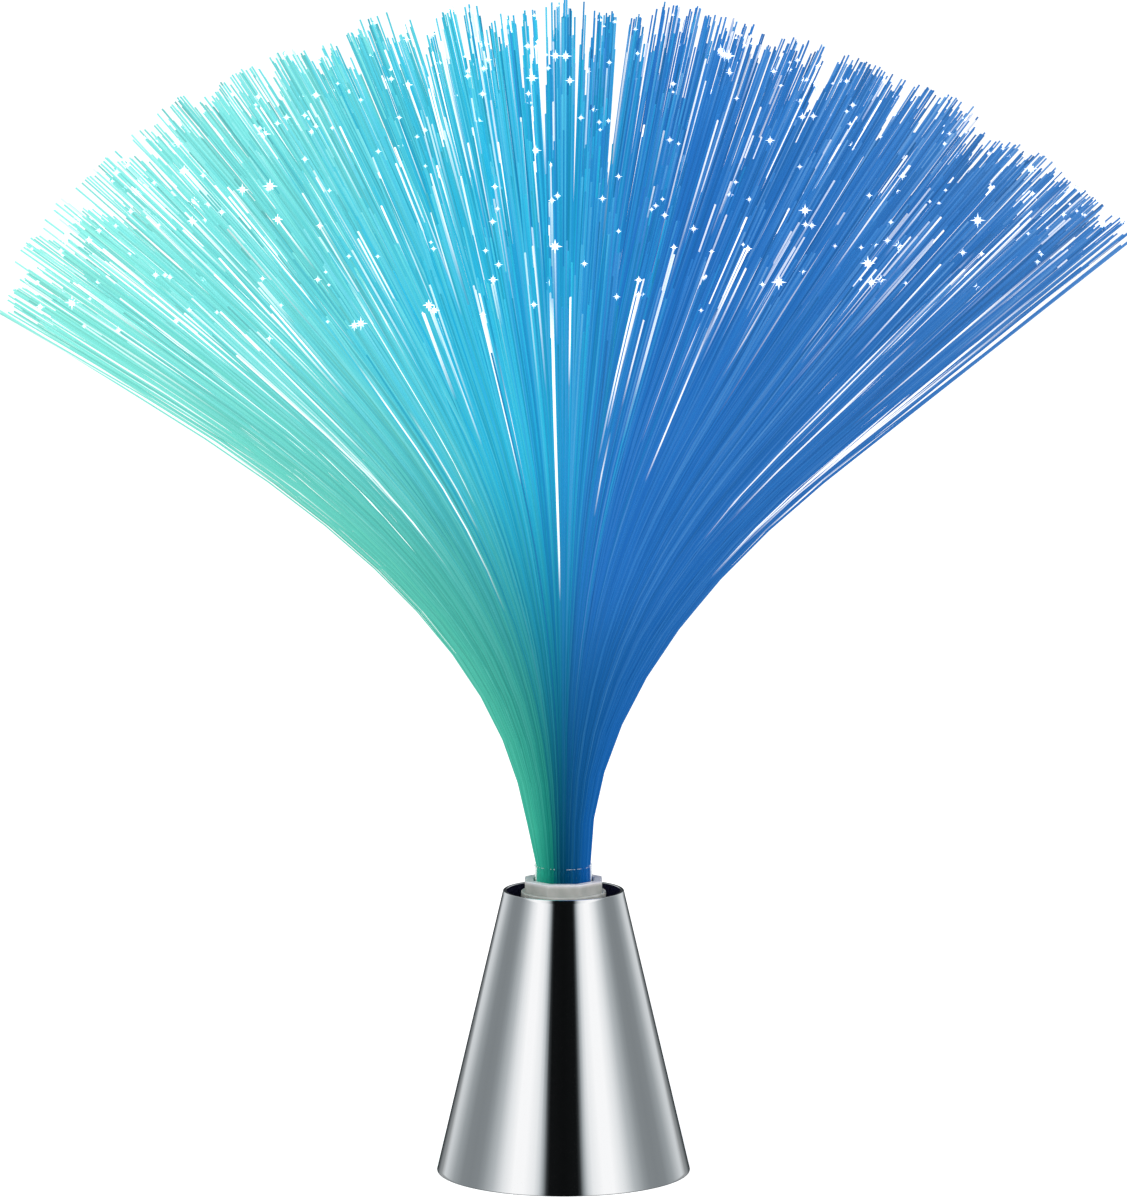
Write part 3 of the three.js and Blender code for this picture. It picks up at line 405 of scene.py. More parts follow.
def chrome():
    """Polished chrome with a trace of unevenness."""
    mat, nodes, links, shader = material("polished_chrome", (0.93, 0.935, 0.945), 0.035, 1.0)
    add_grain(nodes, links, shader, scale=900, strength=0.02, distance=0.02 * MM, roughness=(0.025, 0.05))
    return mat


def painted_shade_inside():
    """Glossy near-black inside of the cone: painted shade of the hollow under the lip, uneven in patches."""
    mat, nodes, links, shader = material("painted_shade_inside_cone", (0.02, 0.02, 0.05), 0.2)
    shader.inputs["Specular IOR Level"].default_value = 0.9
    noise = add_grain(nodes, links, shader, scale=1500, strength=0.08, distance=0.04 * MM, roughness=(0.16, 0.24))
    add_mottle(nodes, links, shader, noise, (0.014, 0.014, 0.04), (0.028, 0.028, 0.062))
    return mat


def milky_nylon():
    """Translucent nylon: grey lower down, and paler along its top edge. This change with height is painted light,
    standing in for the light that comes through the thin edge.
    """
    mat, nodes, links, shader = material(
        "milky_nylon", (0.5, 0.5, 0.48), 0.3, 0.0,
        Subsurface_Weight=0.7, Subsurface_Radius=(1.0, 0.9, 0.85), Subsurface_Scale=1.5 * MM,
    )
    noise = add_grain(nodes, links, shader, scale=260, strength=0.03, distance=0.05 * MM, roughness=(0.26, 0.34))
    grey = add_mottle(nodes, links, shader, noise, *NYLON_GREYS)
    # Painted light: the colour goes from the grey to the pale colour with height, so the top edge looks lit.
    height = parts_of(nodes, links, nodes.new("ShaderNodeTexCoord").outputs["Object"])["Z"]
    mix = nodes.new("ShaderNodeMix")
    mix.data_type = "RGBA"
    links.new(ranged(nodes, links, height, NYLON_PAINTED_LIGHT_HEIGHTS, (0, 1)), mix.inputs["Factor"])
    links.new(grey, mix.inputs["A"])
    mix.inputs["B"].default_value = (*NYLON_PAINTED_LIGHT, 1)
    links.new(mix.outputs["Result"], shader.inputs["Base Color"])
    return mat


def clear_vinyl():
    """Clear resin of the colour LED."""
    mat, nodes, links, shader = material("clear_vinyl", (0.96, 0.99, 0.99), 0.2, 0.0, Transmission_Weight=1.0, IOR=1.05)
    add_grain(nodes, links, shader, scale=900, strength=0.25, distance=0.08 * MM)
    return mat


def lit_vinyl():
    """Clear vinyl round the foot of the fibres, tinted with the colours of their light: painted light of the fibres'
    glow in it.
    """
    mat, nodes, links, shader = material("lit_vinyl", (0.6, 0.8, 0.9), 0.2, 0.0, Transmission_Weight=1.0, IOR=1.03)
    add_grain(nodes, links, shader, scale=900, strength=0.25, distance=0.08 * MM)
    follow_points(nodes, links, shader, "body", "Base Color")
    return mat


def lit_fibre():
    """Fibre that glows along its length: most of its colour is its own light, and the rest is lit from outside."""
    mat, nodes, links, shader = material("lit_fibre", (0.3, 0.6, 0.8), 0.4, 0.0)
    follow_points(nodes, links, shader, "body", "Base Color")
    follow_points(nodes, links, shader, "light", "Emission Color")
    shader.inputs["Emission Strength"].default_value = GLOW_SHARE
    shader.inputs["Specular IOR Level"].default_value = 0.06
    return mat


def bright_tip():
    """Pale tip that shines in the colour of its points."""
    mat, nodes, links, shader = material("bright_tip", (0.9, 0.95, 1.0), 0.4, 0.0)
    follow_points(nodes, links, shader, "light", "Emission Color")
    shader.inputs["Emission Strength"].default_value = GLINT_STRENGTH
    return mat


def moulded_black():
    """Moulded black plastic with a fine grain."""
    mat, nodes, links, shader = material("moulded_black", (0.02, 0.021, 0.024), 0.45)
    noise = add_grain(nodes, links, shader, scale=2200, strength=0.25, distance=0.06 * MM, roughness=(0.38, 0.52))
    add_mottle(nodes, links, shader, noise, (0.016, 0.017, 0.020), (0.026, 0.027, 0.031))
    return mat


def soft_rubber():
    """Dull dark rubber."""
    mat, nodes, links, shader = material("soft_rubber", (0.03, 0.03, 0.032), 0.85)
    noise = add_grain(nodes, links, shader, scale=1400, strength=0.35, distance=0.1 * MM, roughness=(0.78, 0.92))
    add_mottle(nodes, links, shader, noise, (0.024, 0.024, 0.026), (0.042, 0.042, 0.044))
    return mat


def plated_steel():
    """Nickel-plated steel, slightly dull."""
    mat, nodes, links, shader = material("plated_steel", (0.62, 0.63, 0.65), 0.28, 1.0)
    add_grain(nodes, links, shader, scale=1800, strength=0.1, distance=0.03 * MM, roughness=(0.2, 0.38))
    return mat


def plain_wrap():
    """Plain green wrap of a cell."""
    mat, nodes, links, shader = material("cell_wrap", (0.05, 0.16, 0.07), 0.3, 0.3)
    noise = add_grain(nodes, links, shader, scale=500, strength=0.05, distance=0.05 * MM, roughness=(0.25, 0.36))
    add_mottle(nodes, links, shader, noise, (0.04, 0.14, 0.06), (0.06, 0.19, 0.09))
    return mat


def board_resin():
    """Green coat of a circuit board."""
    mat, nodes, links, shader = material("board_resin", (0.01, 0.11, 0.04), 0.35)
    noise = add_grain(nodes, links, shader, scale=1600, strength=0.2, distance=0.04 * MM, roughness=(0.3, 0.45))
    add_mottle(nodes, links, shader, noise, (0.008, 0.09, 0.032), (0.014, 0.14, 0.05))
    return mat


def red_vinyl():
    """Red sheath of the switch's wires."""
    mat, nodes, links, shader = material("red_vinyl", (0.45, 0.02, 0.015), 0.4)
    noise = add_grain(nodes, links, shader, scale=1200, strength=0.15, distance=0.04 * MM, roughness=(0.34, 0.48))
    add_mottle(nodes, links, shader, noise, (0.38, 0.016, 0.012), (0.5, 0.025, 0.02))
    return mat


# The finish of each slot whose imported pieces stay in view
SLOT_FINISHES = {
    "black_plastic": "black", "chip_resin": "black", "foot_rubber": "rubber", "screw_steel": "steel",
    "contact_steel": "steel", "ferrule_aluminium": "steel", "cell_wrap": "wrap", "board_resin": "board",
    "clear_resin": "vinyl", "wire_insulation": "wire",
}


# The lamp's pieces


def make_cone(materials):
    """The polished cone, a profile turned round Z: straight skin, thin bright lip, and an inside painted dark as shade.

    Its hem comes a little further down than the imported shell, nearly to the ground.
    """
    low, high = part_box("cone_shell")
    bottom, top = low[2] - CONE_DROP, high[2]
    slope = (CONE_BOTTOM_RADIUS - CONE_TOP_RADIUS) / (top - low[2])
    foot_radius = CONE_BOTTOM_RADIUS + slope * CONE_DROP
    outline = rounded([
        (foot_radius - CONE_WALL, bottom, CONE_HEM),
        (foot_radius, bottom, CONE_HEM),
        (foot_radius - slope * CONE_STRAIGHT, bottom + CONE_STRAIGHT, 0),
        (CONE_TOP_RADIUS + slope * CONE_STRAIGHT, top - CONE_STRAIGHT, 0),
        (CONE_TOP_RADIUS, top, CONE_LIP_ROUND),
        (CONE_TOP_RADIUS - CONE_LIP_WIDTH, top, CONE_LIP_ROUND),
        (CONE_TOP_RADIUS - CONE_WALL + slope * CONE_LIP_DEPTH, top - CONE_LIP_DEPTH, 0),
    ])
    cone = turned("cone_skin", outline, CONE_SEGMENTS)
    cone.data.materials.append(materials["chrome"])
    # The dark finish is painted shade inside the cone.
    cone.data.materials.append(materials["dark"])
    # The last two stretches of the outline, from the lip down to the hem, are the inside, which gets the painted shade.
    inside = np.arange(len(outline)) >= len(outline) - 2
    cone.data.polygons.foreach_set("material_index", np.tile(inside, CONE_SEGMENTS).astype(np.int32))
    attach(cone, "base")
    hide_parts("cone_shell")


def eight_sided(angle):
    """How much further out an eight-sided outline lies than the middle of its flats.

    It is 1 / cos of the angle from the nearest flat's middle, cut off near the corners. A flat faces the front.
    """
    step = 2 * math.pi / HEAD_SIDES
    off = (angle + step / 2) % step - step / 2
    return np.minimum(1 / np.cos(off), 1 / math.cos(step / 2) - HEAD_CORNER_CUT)


def make_collar(materials):
    """The milky collar, a profile turned round Z: an eight-sided head over a round flange, with the bundle's bore."""
    low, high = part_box("collar")
    top = high[2]
    flange_top = top - HEAD_HEIGHT
    flange_bottom = flange_top - FLANGE_THICKNESS
    outline = rounded([
        (BORE_RADIUS, low[2], 0),
        (BORE_RADIUS + NECK_WALL, low[2], 0),
        (BORE_RADIUS + NECK_WALL, flange_bottom, 0),
        (FLANGE_RADIUS, flange_bottom, COLLAR_ROUND),
        (FLANGE_RADIUS, flange_top, COLLAR_ROUND),
        (HEAD_ACROSS / 2, flange_top, HEAD_FOOT_ROUND),
        (HEAD_ACROSS / 2, top, COLLAR_ROUND),
        (BORE_RADIUS, top, COLLAR_ROUND),
    ])

    def radius_at(angle, r, z):
        """The head and its part of the bore are eight-sided. The rest is round."""
        above = z > flange_top + TINY
        beside_head = (np.abs(z - flange_top) < TINY) & (r < FLANGE_RADIUS - COLLAR_ROUND - TINY)
        return np.where(above | beside_head, r * eight_sided(angle), r)

    collar = turned("collar_skin", outline, ROUND_SEGMENTS, radius_at)
    collar.data.materials.append(materials["nylon"])
    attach(collar, "collar")
    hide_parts("collar")


def make_sleeve(materials):
    """The clear sleeve round the foot of the bundle, a profile turned round Z, with small white beads along its edge as
    painted highlights.
    """
    low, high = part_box("clear_sleeve")
    outer = high[0]
    inner = outer - SLEEVE_WALL
    outline = rounded([
        (inner, low[2], 0), (outer, low[2], 0), (outer, high[2], SLEEVE_ROUND), (inner, high[2], SLEEVE_ROUND),
    ])
    sleeve = turned("sleeve_skin", outline, ROUND_SEGMENTS)
    places = np.zeros(3 * len(sleeve.data.vertices))
    sleeve.data.vertices.foreach_get("co", places)
    side = places[::3] / outer
    # Painted light: the sleeve is tinted, mostly pale, with the fibres' light at the foot.
    colour_points(sleeve, "body", to_linear(light_at(side, 0 * side) * (1 - SLEEVE_PALE) + SLEEVE_PALE))
    sleeve.data.materials.append(materials["sleeve"])
    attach(sleeve, "spray")
    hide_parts("clear_sleeve")
    make_highlight_beads(materials, outer, high[2] - BEAD_DROP)


def make_highlight_beads(materials, radius, height):
    """Small white beads, painted highlights, at some of the even places round a circle, each a ball drawn out along the
    circle.

    A bead's points are its place + size (b + (stretch - 1)(b . t) t), with b a ball's point and t the way along.
    """
    rng = np.random.default_rng(BEAD_SEED)
    azimuth = 2 * math.pi * np.flatnonzero(rng.uniform(0, 1, BEAD_PLACES) < BEAD_SHARE) / BEAD_PLACES
    size = rng.uniform(*BEAD_SIZES, len(azimuth)) * BEAD_RADIUS
    ball, faces = ball_shape()
    along = np.stack([-np.sin(azimuth), np.cos(azimuth), 0 * azimuth], -1)
    place = np.stack([radius * np.cos(azimuth), radius * np.sin(azimuth), 0 * azimuth + height], -1)
    stretched = ball[None] + (ball @ along.T).T[..., None] * along[:, None] * (BEAD_STRETCH - 1)
    points = place[:, None] + stretched * size[:, None, None]
    beads = mesh_object("sleeve_highlight_beads", points.reshape(-1, 3), repeated(faces, len(ball), len(azimuth)))
    # The beads are painted highlights in the nylon's colour.
    beads.data.materials.append(materials["nylon"])
    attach(beads, "spray")


def light_at(side, height):
    """Screen colour of the fibres' light at a place from side to side and a share of the height.

    Each light goes evenly from its deep to its clear colour with height. From side to side each blends into the next.
    """
    side, height = np.clip(side, -1, 1), np.clip(height, 0, 1)
    number = np.interp(side, [light[0] for light in FIBRE_LIGHTS], np.arange(len(FIBRE_LIGHTS)))
    mixed = 0
    for i, (_, deep, clear, clear_from) in enumerate(FIBRE_LIGHTS):
        climb = np.minimum(height / clear_from, 1)[..., None]
        share = np.maximum(1 - np.abs(number - i), 0)[..., None]
        mixed = mixed + share * ((1 - climb) * deep + climb * clear)
    return mixed


def share_out(climb, bend_end):
    """Share of its way out that a strand has covered: a parabola to the end of its bend, then a straight line."""
    return np.where(climb < bend_end, climb**2 / bend_end, 2 * climb - bend_end) / (2 - bend_end)


def edge_radius(x, rise):
    """Radius of the fountain's edge at a height above the bundle, on the side where x lies."""
    lean = np.sign(x)
    climb = np.clip(rise / (SIDE_RISE + SIDE_RISE_TILT * lean), 0, 1)
    return BUNDLE_RADIUS + (REACH - BUNDLE_RADIUS) * share_out(climb, BEND_END + BEND_END_TILT * lean)


def spiral(count, power):
    """Points spread evenly over a disc of radius 1 on a golden spiral, drawn out to a power of their radius."""
    k = np.arange(count)
    radius = np.sqrt((k + 0.5) / count) ** power
    angle = k * math.pi * (3 - math.sqrt(5))
    return np.stack([radius * np.cos(angle), radius * np.sin(angle)], -1)


def tuft_aims(rng):
    """Where each strand aims, on a disc of radius 1, and the number of its tuft.

    A strand's own place on a spiral is drawn part of the way to the nearest tuft, then scattered a little.
    """
    own = spiral(STRANDS, CROWN_SPREAD)
    tuft = spiral(TUFTS, CROWN_SPREAD) + rng.uniform(-TUFT_SCATTER, TUFT_SCATTER, (TUFTS, 2))
    # Tufts are longer from front to back than from side to side, so the gaps between them show from the front.
    away = own[:, None] - tuft[None]
    nearest = np.argmin(away[..., 0] ** 2 + (TUFT_DEPTH * away[..., 1]) ** 2, 1)
    pull = TUFT_PULL * rng.uniform(*TUFT_PULL_SHARES, STRANDS)[:, None] * (1, TUFT_DEPTH**2)
    aim = own * (1 - pull) + tuft[nearest] * pull + rng.normal(0, TIP_SCATTER, (STRANDS, 2))
    length = np.linalg.norm(aim, axis=1, keepdims=True)
    return aim * np.minimum(length, 1) / length, nearest


def strand_paths(rng):
    """The middles of all strands, as (strand, step, xyz) above the top of the bundle.

    A strand goes from its root to its tip on the crown: root + (tip - root) share_out(climb), at height rise * climb.
    The crown falls from its middle with a power of the way out. The strands of a tuft are cut off at the same share of
    their length, and each a little shorter again. A parting pushes strands apart, by its half width right beside it and
    less further off, as a bell curve, and it grows towards the tips.
    """
    root = BUNDLE_RADIUS * spiral(STRANDS, 1)
    aim, tuft = tuft_aims(rng)
    reach = np.linalg.norm(aim, axis=1)
    lean = aim[:, 0] / reach
    fall = reach ** (CROWN_POWER + CROWN_POWER_TILT * lean)
    rise = CROWN_RISE + (SIDE_RISE + SIDE_RISE_TILT * lean - CROWN_RISE) * fall
    bend_end = BEND_END + BEND_END_TILT * lean + rng.normal(0, BEND_END_SCATTER, STRANDS)
    end = 1 - rng.uniform(0, TUFT_CUT, TUFTS)[tuft] - STRAND_CUT * rng.uniform(0, 1, STRANDS) ** STRAND_CUT_POWER

    climb = np.linspace(0, 1, STRAND_STEPS)[None] * end[:, None]
    out = share_out(climb, bend_end[:, None])
    height = rise[:, None] * climb
    tip = aim * REACH
    place = root[:, None] + (tip - root)[:, None] * out[..., None]
    # The green side swells a little just above the bundle.
    up = height / NECK_BULGE_HEIGHT
    swell = NECK_BULGE * np.maximum(-lean, 0)[:, None] * up * np.exp(1 - up)
    place += root[:, None] / BUNDLE_RADIUS * swell[..., None]
    late = np.clip((climb - PARTING_START) / (1 - PARTING_START), 0, 1) ** PARTING_GROWTH
    middle, half_width = np.transpose(PARTINGS) * MM
    off = tip[:, :1] - middle
    push = np.where(off < 0, -1, 1) * half_width * np.exp(-((off / (PARTING_FADE * half_width)) ** 2))
    place[..., 0] += push.sum(1)[:, None] * late
    return np.concatenate([place, height[..., None]], -1)


def fibre_colours(rng, paths):
    """Linear colour of each strand at each step, by its place in the fountain, without streaks.

    A strand's tone makes it a little paler or deeper than the next. It ripples along the strand and grows upwards.
    """
    x, rise = paths[..., 0], paths[..., 2]
    height = rise / CROWN_RISE
    light = light_at(x / edge_radius(x, rise) + rng.normal(0, LIGHT_SCATTER, STRANDS)[:, None], height)
    ripple = rng.normal(0, 1, paths.shape[:2])
    ripple[:, 1:-1] = (ripple[:, :-2] + 2 * ripple[:, 1:-1] + ripple[:, 2:]) / 4
    tone = np.clip(rng.normal(0, 1, STRANDS), *TONE_LIMITS)[:, None] + TONE_RIPPLE * ripple
    tone *= TONE_AT_FOOT + (1 - TONE_AT_FOOT) * height
    light = light * (1 + TONE_DARK * np.minimum(tone, 0))[..., None]
    pale = (TONE_PALE * np.maximum(tone, 0))[..., None]
    return to_linear(light * (1 - pale) + pale)


def painted_highlight_streaks(rng, paths):
    """How much painted highlight, as white, each strand has at each step, from 0 to 1.

    Some strands lead a streak: the strands within its half width are painted white too, from its beginning to its end,
    with a short fade at both. Streaks at the rim are long, and those in the crown reach the tips.
    """
    tip = paths[:, -1, :2]
    out = np.linalg.norm(tip, axis=1) / REACH
    side = tip[:, 0] / REACH
    rim = np.where(out > RIM_STREAK_OUT, np.take(RIM_STREAK_CHANCES, np.searchsorted(RIM_STREAK_SIDES, side)), 0)
    near_middle = np.abs(side - CROWN_STREAK_MIDDLE) < CROWN_STREAK_MIDDLE_HALF
    crown = 1 + CROWN_STREAK_LEFT_EXTRA * (side < CROWN_STREAK_LEFT) + CROWN_STREAK_MIDDLE_EXTRA * near_middle
    leader = np.concatenate([
        rng.choice(STRANDS, count, replace=False, p=chance / chance.sum())
        for count, chance in ((RIM_STREAKS, rim), (CROWN_STREAKS, crown))
    ])
    at_rim = np.arange(len(leader)) < RIM_STREAKS

    def drawn(at_rim_range, in_crown_range):
        """A number for each streak, from the range of its kind."""
        return np.where(at_rim, rng.uniform(*at_rim_range, len(leader)), rng.uniform(*in_crown_range, len(leader)))

    half_width = drawn(RIM_STREAK_WIDTHS, CROWN_STREAK_WIDTHS)
    begin = drawn(RIM_STREAK_BEGINNINGS, CROWN_STREAK_BEGINNINGS)
    end = begin + np.where(at_rim, rng.uniform(*RIM_STREAK_LENGTHS, len(leader)), 1)
    strength = drawn(RIM_STREAK_STRENGTHS, CROWN_STREAK_STRENGTHS)
    # A streak is wider from front to back than from side to side.
    apart = np.linalg.norm((tip[:, None] - tip[leader][None]) * (1, STREAK_DEPTH), axis=-1) / half_width
    streak = np.argmin(apart, 1)
    white = apart[np.arange(STRANDS), streak] < 1
    along = np.linspace(0, 1, paths.shape[1])[None]
    start = (begin[streak] + rng.normal(0, STREAK_SCATTER, STRANDS))[:, None]
    fade_in = np.clip((along - start) / STREAK_FADE_IN, 0, 1)
    fade_out = np.clip((end[streak][:, None] - along) / STREAK_FADE_OUT, 0, 1)
    return fade_in * fade_out * (white * strength[streak])[:, None]


def strand_tubes(rng, centre, azimuth):
    """Points of the strands' tubes round their middles, as (strand, step, corner, xyz).

    They are middle + width / 2 (n cos a + b sin a), with n and b square to the strand and to each other and n in its
    upright plane, for even steps of the angle a from a random start. The width grows evenly from the bundle's top to
    the tip.
    """
    steps = centre.shape[1]
    direction = np.gradient(centre, axis=1)
    direction /= np.linalg.norm(direction, axis=-1, keepdims=True)
    across = np.stack([-np.sin(azimuth), np.cos(azimuth), 0 * azimuth], -1)[:, None]
    normal = np.cross(across, direction)
    normal /= np.linalg.norm(normal, axis=-1, keepdims=True)
    binormal = np.cross(direction, normal)
    width = np.interp(np.arange(steps), (1, steps - 1), (STRAND_ROOT_WIDTH, STRAND_TIP_WIDTH))
    spin = rng.uniform(0, 2 * math.pi, STRANDS)[:, None] + 2 * math.pi * np.arange(STRAND_SIDES) / STRAND_SIDES
    spin = spin[:, None, :, None]
    around = normal[:, :, None] * np.cos(spin) + binormal[:, :, None] * np.sin(spin)
    return centre[:, :, None] + around * (width / 2)[:, None, None]


def tube_faces(steps):
    """Faces of one strand's tube: its walls, its top and its bottom."""
    ring, corner = np.arange(steps - 1)[:, None] * STRAND_SIDES, np.arange(STRAND_SIDES)[None]
    a, b = ring + corner, ring + (corner + 1) % STRAND_SIDES
    walls = np.stack([a, b, b + STRAND_SIDES, a + STRAND_SIDES], -1).reshape(-1, 4)
    return walls, (steps - 1) * STRAND_SIDES + corner, corner[:, ::-1]


def make_fibres(materials):
    """The strands, a quarter of the bundle to each piece, and the bright points on some tips."""
    rng = np.random.default_rng(FIBRE_SEED)
    paths = strand_paths(rng)
    light = fibre_colours(rng, paths)
    painted_highlight = painted_highlight_streaks(rng, paths)[..., None]
    # Painted highlights: white streaks mixed into the strands' own light.
    light = light * (1 - painted_highlight) + PAINTED_HIGHLIGHT_WHITE * painted_highlight
    # Each strand starts with a short root down inside the sleeve.
    foot = paths[:, :1] - (0, 0, ROOT_DEPTH)
    centre = np.concatenate([foot, paths], 1) + (0, 0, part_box("clear_sleeve")[1][2] - SLEEVE_PROUD)
    light = np.concatenate([light[:, :1], light], 1)
    points = strand_tubes(rng, centre, np.arctan2(paths[:, -1, 1], paths[:, -1, 0]))
    points_each = centre.shape[1] * STRAND_SIDES
    root_angle = np.degrees(np.arctan2(paths[:, 0, 1], paths[:, 0, 0]))
    sector = np.floor((root_angle + 45) % 360 / 90).astype(int)
    for number, (name, slot) in enumerate(SECTORS.items()):
        chosen = np.flatnonzero(sector == number)
        faces = [face for part in tube_faces(centre.shape[1]) for face in repeated(part, points_each, len(chosen))]
        strands = mesh_object(f"strands_{name}", points[chosen].reshape(-1, 3), faces)
        colours = np.repeat(light[chosen], STRAND_SIDES, 1).reshape(-1, 3)
        colour_points(strands, "light", colours)
        colour_points(strands, "body", colours * BODY_SHARE)
        strands.data.materials.append(materials["fibre"])
        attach(strands, "spray")
        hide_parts(f"fibres_{name}")
    make_glints(materials, rng, centre[:, -1], light[:, -1])


def glint_shape():
    """A ball with fourteen thin rays, along the axes and the diagonals: (by_ball, by_ray, part, faces).

    A point lies at the ball's size times by_ball, plus the rays' length times by_ray. A ray's foot is a triangle round
    the ray's line, inside the ball, and its tip lies on that line. The part is 0 on the ball, 1 at a foot, 2 at a tip.
    """
    ball, ball_faces = ball_shape()
    axes = np.concatenate([np.eye(3), -np.eye(3)])
    diagonals = np.stack(np.meshgrid(*[(-1, 1)] * 3, indexing="ij"), -1).reshape(-1, 3) / math.sqrt(3)
    rays = np.concatenate([axes, diagonals])
    length = np.repeat((1.0, GLINT_DIAGONAL_LENGTH), (len(axes), len(diagonals)))
    aside = np.cross(rays, np.roll(rays, 1, axis=1) + GLINT_RAY_TURN)
    aside /= np.linalg.norm(aside, axis=1, keepdims=True)
    other = np.cross(rays, aside)
    turn = 2 * math.pi * np.arange(GLINT_RAY_SIDES) / GLINT_RAY_SIDES
    foot = aside[:, None] * np.cos(turn)[:, None] + other[:, None] * np.sin(turn)[:, None]
    foot = (rays[:, None] * GLINT_RAY_START + foot * GLINT_RAY_WIDTH).reshape(-1, 3)
    by_ball = np.concatenate([ball, foot, 0 * rays])
    by_ray = np.concatenate([0 * ball, 0 * foot, rays * length[:, None]])
    corner = len(ball) + np.arange(len(foot)).reshape(len(rays), GLINT_RAY_SIDES)
    tip = len(ball) + len(foot) + np.arange(len(rays))[:, None]
    sides = np.stack([corner, np.roll(corner, -1, 1), tip + 0 * corner], -1).reshape(-1, 3)
    part = np.repeat((0, 1, 2), (len(ball), len(foot), len(rays)))
    return by_ball, by_ray, part, np.concatenate([ball_faces, sides, corner[:, ::-1]])


def make_glints(materials, rng, tips, tip_light):
    """Bright tips: the tips glow in the strands' light, and the white ball with thin rays round each, which fade to the
    colour of the strand, is a painted glint.
    """
    by_ball, by_ray, part, faces = glint_shape()
    lit = rng.choice(len(tips), BIG_GLINTS + SMALL_GLINTS, replace=False)
    big = np.arange(len(lit)) < BIG_GLINTS
    size = np.where(big, rng.uniform(*BIG_GLINT_SIZES, len(lit)), rng.uniform(*SMALL_GLINT_SIZES, len(lit)))
    size = (size * MM)[:, None, None]
    points = tips[lit][:, None] + size * by_ball + GLINT_RAY_LENGTH * size * by_ray
    faces = repeated(faces, len(by_ball), len(lit))
    glints = mesh_object("tip_glints", points.reshape(-1, 3), faces, smooth=False)
    # Bright tips are white in the crown and a dim blue right at the rim.
    at_rim = np.linalg.norm(tips[lit][:, :2], axis=1) > RIM_GLINT_START * REACH
    core = np.where(at_rim[:, None], to_linear(RIM_GLINT), 1.0)
    pale = np.where(big, 1, SMALL_GLINT_PALE)[:, None]
    core = core * pale + tip_light[lit] * (1 - pale)
    soft = core * GLINT_RAY_PALE + tip_light[lit] * (1 - GLINT_RAY_PALE)
    colours = np.stack([core, soft, tip_light[lit]], 1)[:, part]
    colour_points(glints, "light", colours.reshape(-1, 3))
    glints.data.materials.append(materials["tip"])
    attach(glints, "spray")


# The stage


def studio_colour(nodes, links, direction):
    """Colour of the studio in a direction, by its angle from the front as a share of half a turn.

    The angle is that of (-y, |x|), so both sides are alike. Higher up it is scaled, which widens the dark strip.
    """
    aside = worked_out(nodes, links, "ABSOLUTE", direction["X"])
    ahead = worked_out(nodes, links, "MULTIPLY", direction["Y"], -1)
    share = worked_out(nodes, links, "DIVIDE", worked_out(nodes, links, "ARCTAN2", aside, ahead), math.pi)
    scale = ranged(nodes, links, direction["Z"], STUDIO_WIDER_HEIGHTS, STUDIO_WIDER_SCALES)
    scaled = worked_out(nodes, links, "MULTIPLY", share, scale)
    # The scale fades out towards the back.
    fading = nodes.new("ShaderNodeMix")
    for socket, value in (("Factor", share), ("A", scaled), ("B", share)):
        links.new(value, fading.inputs[socket])
    ramp = nodes.new("ShaderNodeValToRGB")
    elements = ramp.color_ramp.elements
    while len(elements) < len(STUDIO):
        elements.new(0.5)
    for element, (position, value) in zip(elements, STUDIO):
        element.position = position
        element.color = (*(value * (1 + cool * (1 - value)) for cool in STUDIO_COOL), 1)
    links.new(fading.outputs["Result"], ramp.inputs["Fac"])
    return ramp.outputs["Color"]


def make_floor():
    """A white floor that keeps the lamp's shadow. Polished metal sees the studio through it."""
    floor = mesh_object("floor", FLOOR_CORNERS, [(0, 1, 2, 3)], smooth=False)
    mat, nodes, links, shader = material("white_floor", (0.8, 0.8, 0.8), 0.9)
    shader.inputs["Emission Color"].default_value = (1, 1, 1, 1)
    path = nodes.new("ShaderNodeLightPath")
    lift = worked_out(nodes, links, "MULTIPLY", path.outputs["Is Camera Ray"], FLOOR_LIFT)
    links.new(lift, shader.inputs["Emission Strength"])
    clear = nodes.new("ShaderNodeBsdfTransparent")
    surface = mixed_shader(nodes, links, path.outputs["Is Glossy Ray"], shader, clear)
    links.new(surface.outputs[0], nodes["Material Output"].inputs["Surface"])
    floor.data.materials.append(mat)


def make_world():
    """White to the eye and through clear pieces, the studio to polished metal, and a plain soft light to the rest."""
    world = bpy.data.worlds.new("studio")
    bpy.context.scene.world = world
    world.use_nodes = True
    nodes, links = world.node_tree.nodes, world.node_tree.links
    nodes.clear()
    path = nodes.new("ShaderNodeLightPath")
    plain, shiny, seen = (nodes.new("ShaderNodeBackground") for _ in range(3))
    plain.inputs["Color"].default_value = seen.inputs["Color"].default_value = (1, 1, 1, 1)
    plain.inputs["Strength"].default_value = PLAIN_LIGHT
    direction = parts_of(nodes, links, nodes.new("ShaderNodeTexCoord").outputs["Generated"])
    links.new(studio_colour(nodes, links, direction), shiny.inputs["Color"])
    dimmed = ranged(nodes, links, direction["Z"], STUDIO_DIM_HEIGHTS, (STUDIO_DIM, 1))
    links.new(dimmed, shiny.inputs["Strength"])
    eye = worked_out(nodes, links, "MAXIMUM", path.outputs["Is Camera Ray"], path.outputs["Is Transmission Ray"])
    lit = mixed_shader(nodes, links, path.outputs["Is Glossy Ray"], plain, shiny)
    surface = mixed_shader(nodes, links, eye, lit, seen)
    links.new(surface.outputs[0], nodes.new("ShaderNodeOutputWorld").inputs["Surface"])


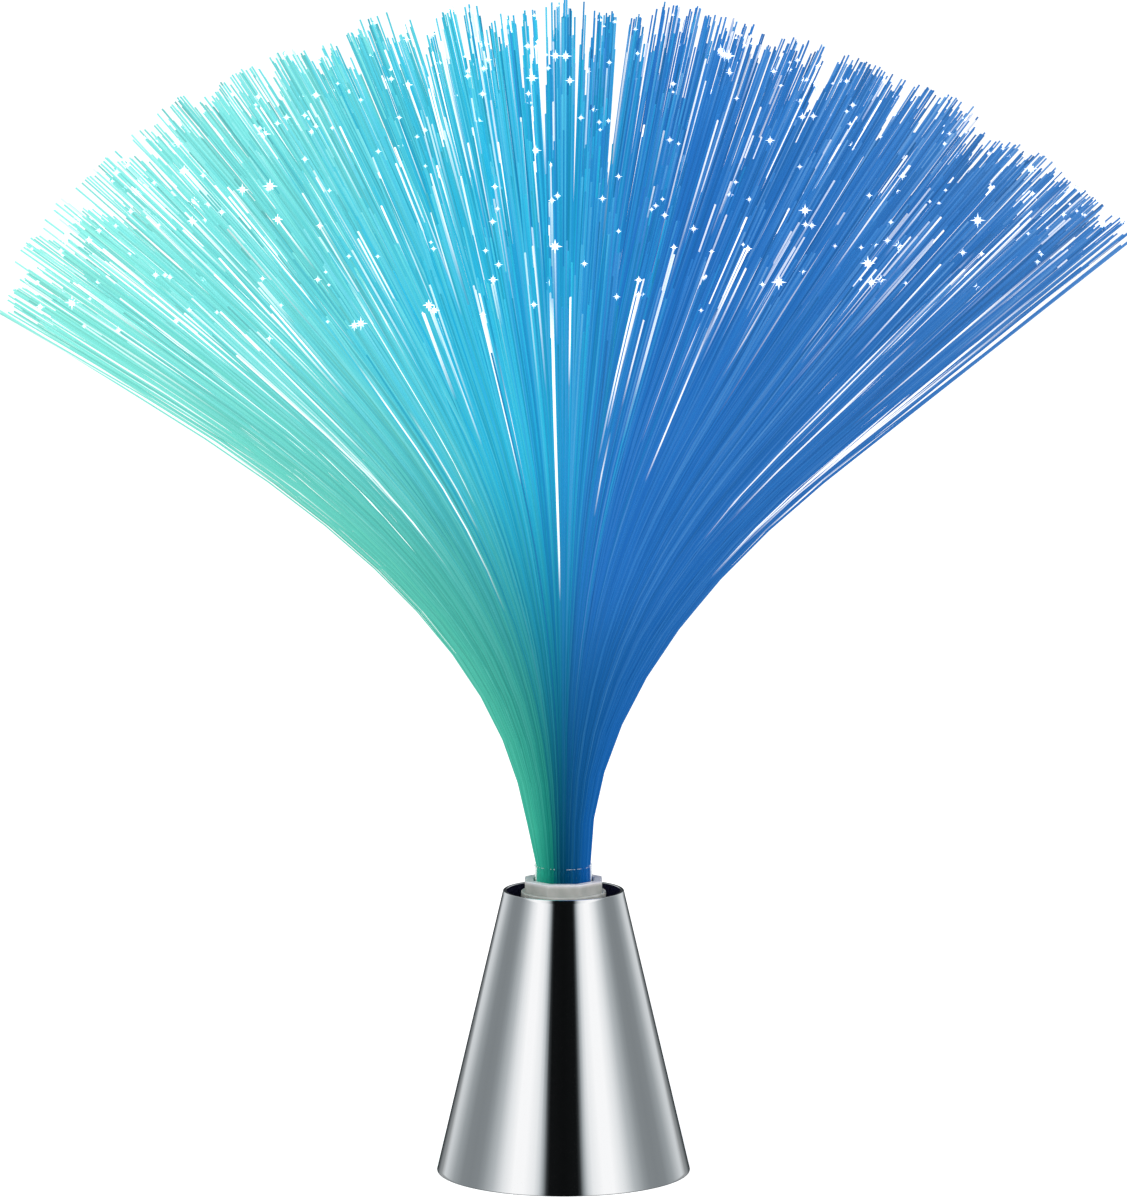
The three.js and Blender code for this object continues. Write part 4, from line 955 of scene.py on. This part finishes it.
def add_soft_lamp(name, place, energy):
    """A large square light that points at the middle of the part. Polished metal doesn't show it."""
    data = bpy.data.lights.new(name, "AREA")
    data.size, data.energy = SOFT_LAMP_SIZE, energy
    lamp = bpy.data.objects.new(name, data)
    bpy.context.scene.collection.objects.link(lamp)
    lamp.location = place
    away = np.subtract(place, SOFT_LAMP_AIM)
    yaw = math.atan2(away[1], away[0]) + math.pi / 2
    tilt = math.acos(away[2] / np.linalg.norm(away))
    lamp.rotation_euler = (tilt, 0, yaw)
    lamp.visible_glossy = False


def make_camera():
    """The camera, level from side to side and looking a little down."""
    data = bpy.data.cameras.new("camera")
    data.sensor_width = CAMERA_SENSOR
    data.lens = CAMERA_SENSOR * CAMERA_FOCAL_PIXELS / CAMERA_FRAME_PIXELS
    data.clip_end = CAMERA_FAR
    camera = bpy.data.objects.new("camera", data)
    bpy.context.scene.collection.objects.link(camera)
    camera.location = CAMERA_PLACE
    camera.rotation_euler = (math.radians(90 - CAMERA_DOWN), 0, 0)
    bpy.context.scene.camera = camera


def dress(frame):
    """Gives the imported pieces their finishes, and makes the camera, the fuller pieces and the stage."""
    make_camera()
    materials = {
        "chrome": chrome(), "dark": painted_shade_inside(), "nylon": milky_nylon(), "vinyl": clear_vinyl(),
        "sleeve": lit_vinyl(), "fibre": lit_fibre(), "tip": bright_tip(), "black": moulded_black(),
        "rubber": soft_rubber(), "steel": plated_steel(), "wrap": plain_wrap(), "board": board_resin(),
        "wire": red_vinyl(),
    }
    slots = {part["node"]: part["material_slot"] for part in frame["record"]["subparts"]}
    for name, obj in frame["nodes"].items():
        if slots[name] in SLOT_FINISHES:
            obj.data.materials.clear()
            obj.data.materials.append(materials[SLOT_FINISHES[slots[name]]])
    make_cone(materials)
    make_collar(materials)
    make_sleeve(materials)
    make_fibres(materials)
    make_floor()
    make_world()
    for name, (place, energy) in SOFT_LAMPS.items():
        add_soft_lamp(name, place, energy)


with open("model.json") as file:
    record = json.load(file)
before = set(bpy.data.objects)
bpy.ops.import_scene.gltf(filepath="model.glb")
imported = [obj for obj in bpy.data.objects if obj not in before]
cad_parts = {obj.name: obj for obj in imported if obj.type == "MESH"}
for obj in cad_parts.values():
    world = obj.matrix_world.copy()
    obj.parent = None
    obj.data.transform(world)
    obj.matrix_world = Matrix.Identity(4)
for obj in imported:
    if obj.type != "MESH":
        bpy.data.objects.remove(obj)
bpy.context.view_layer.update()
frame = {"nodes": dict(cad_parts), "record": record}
bpy.context.scene.view_settings.view_transform = "Standard"
dress(frame)
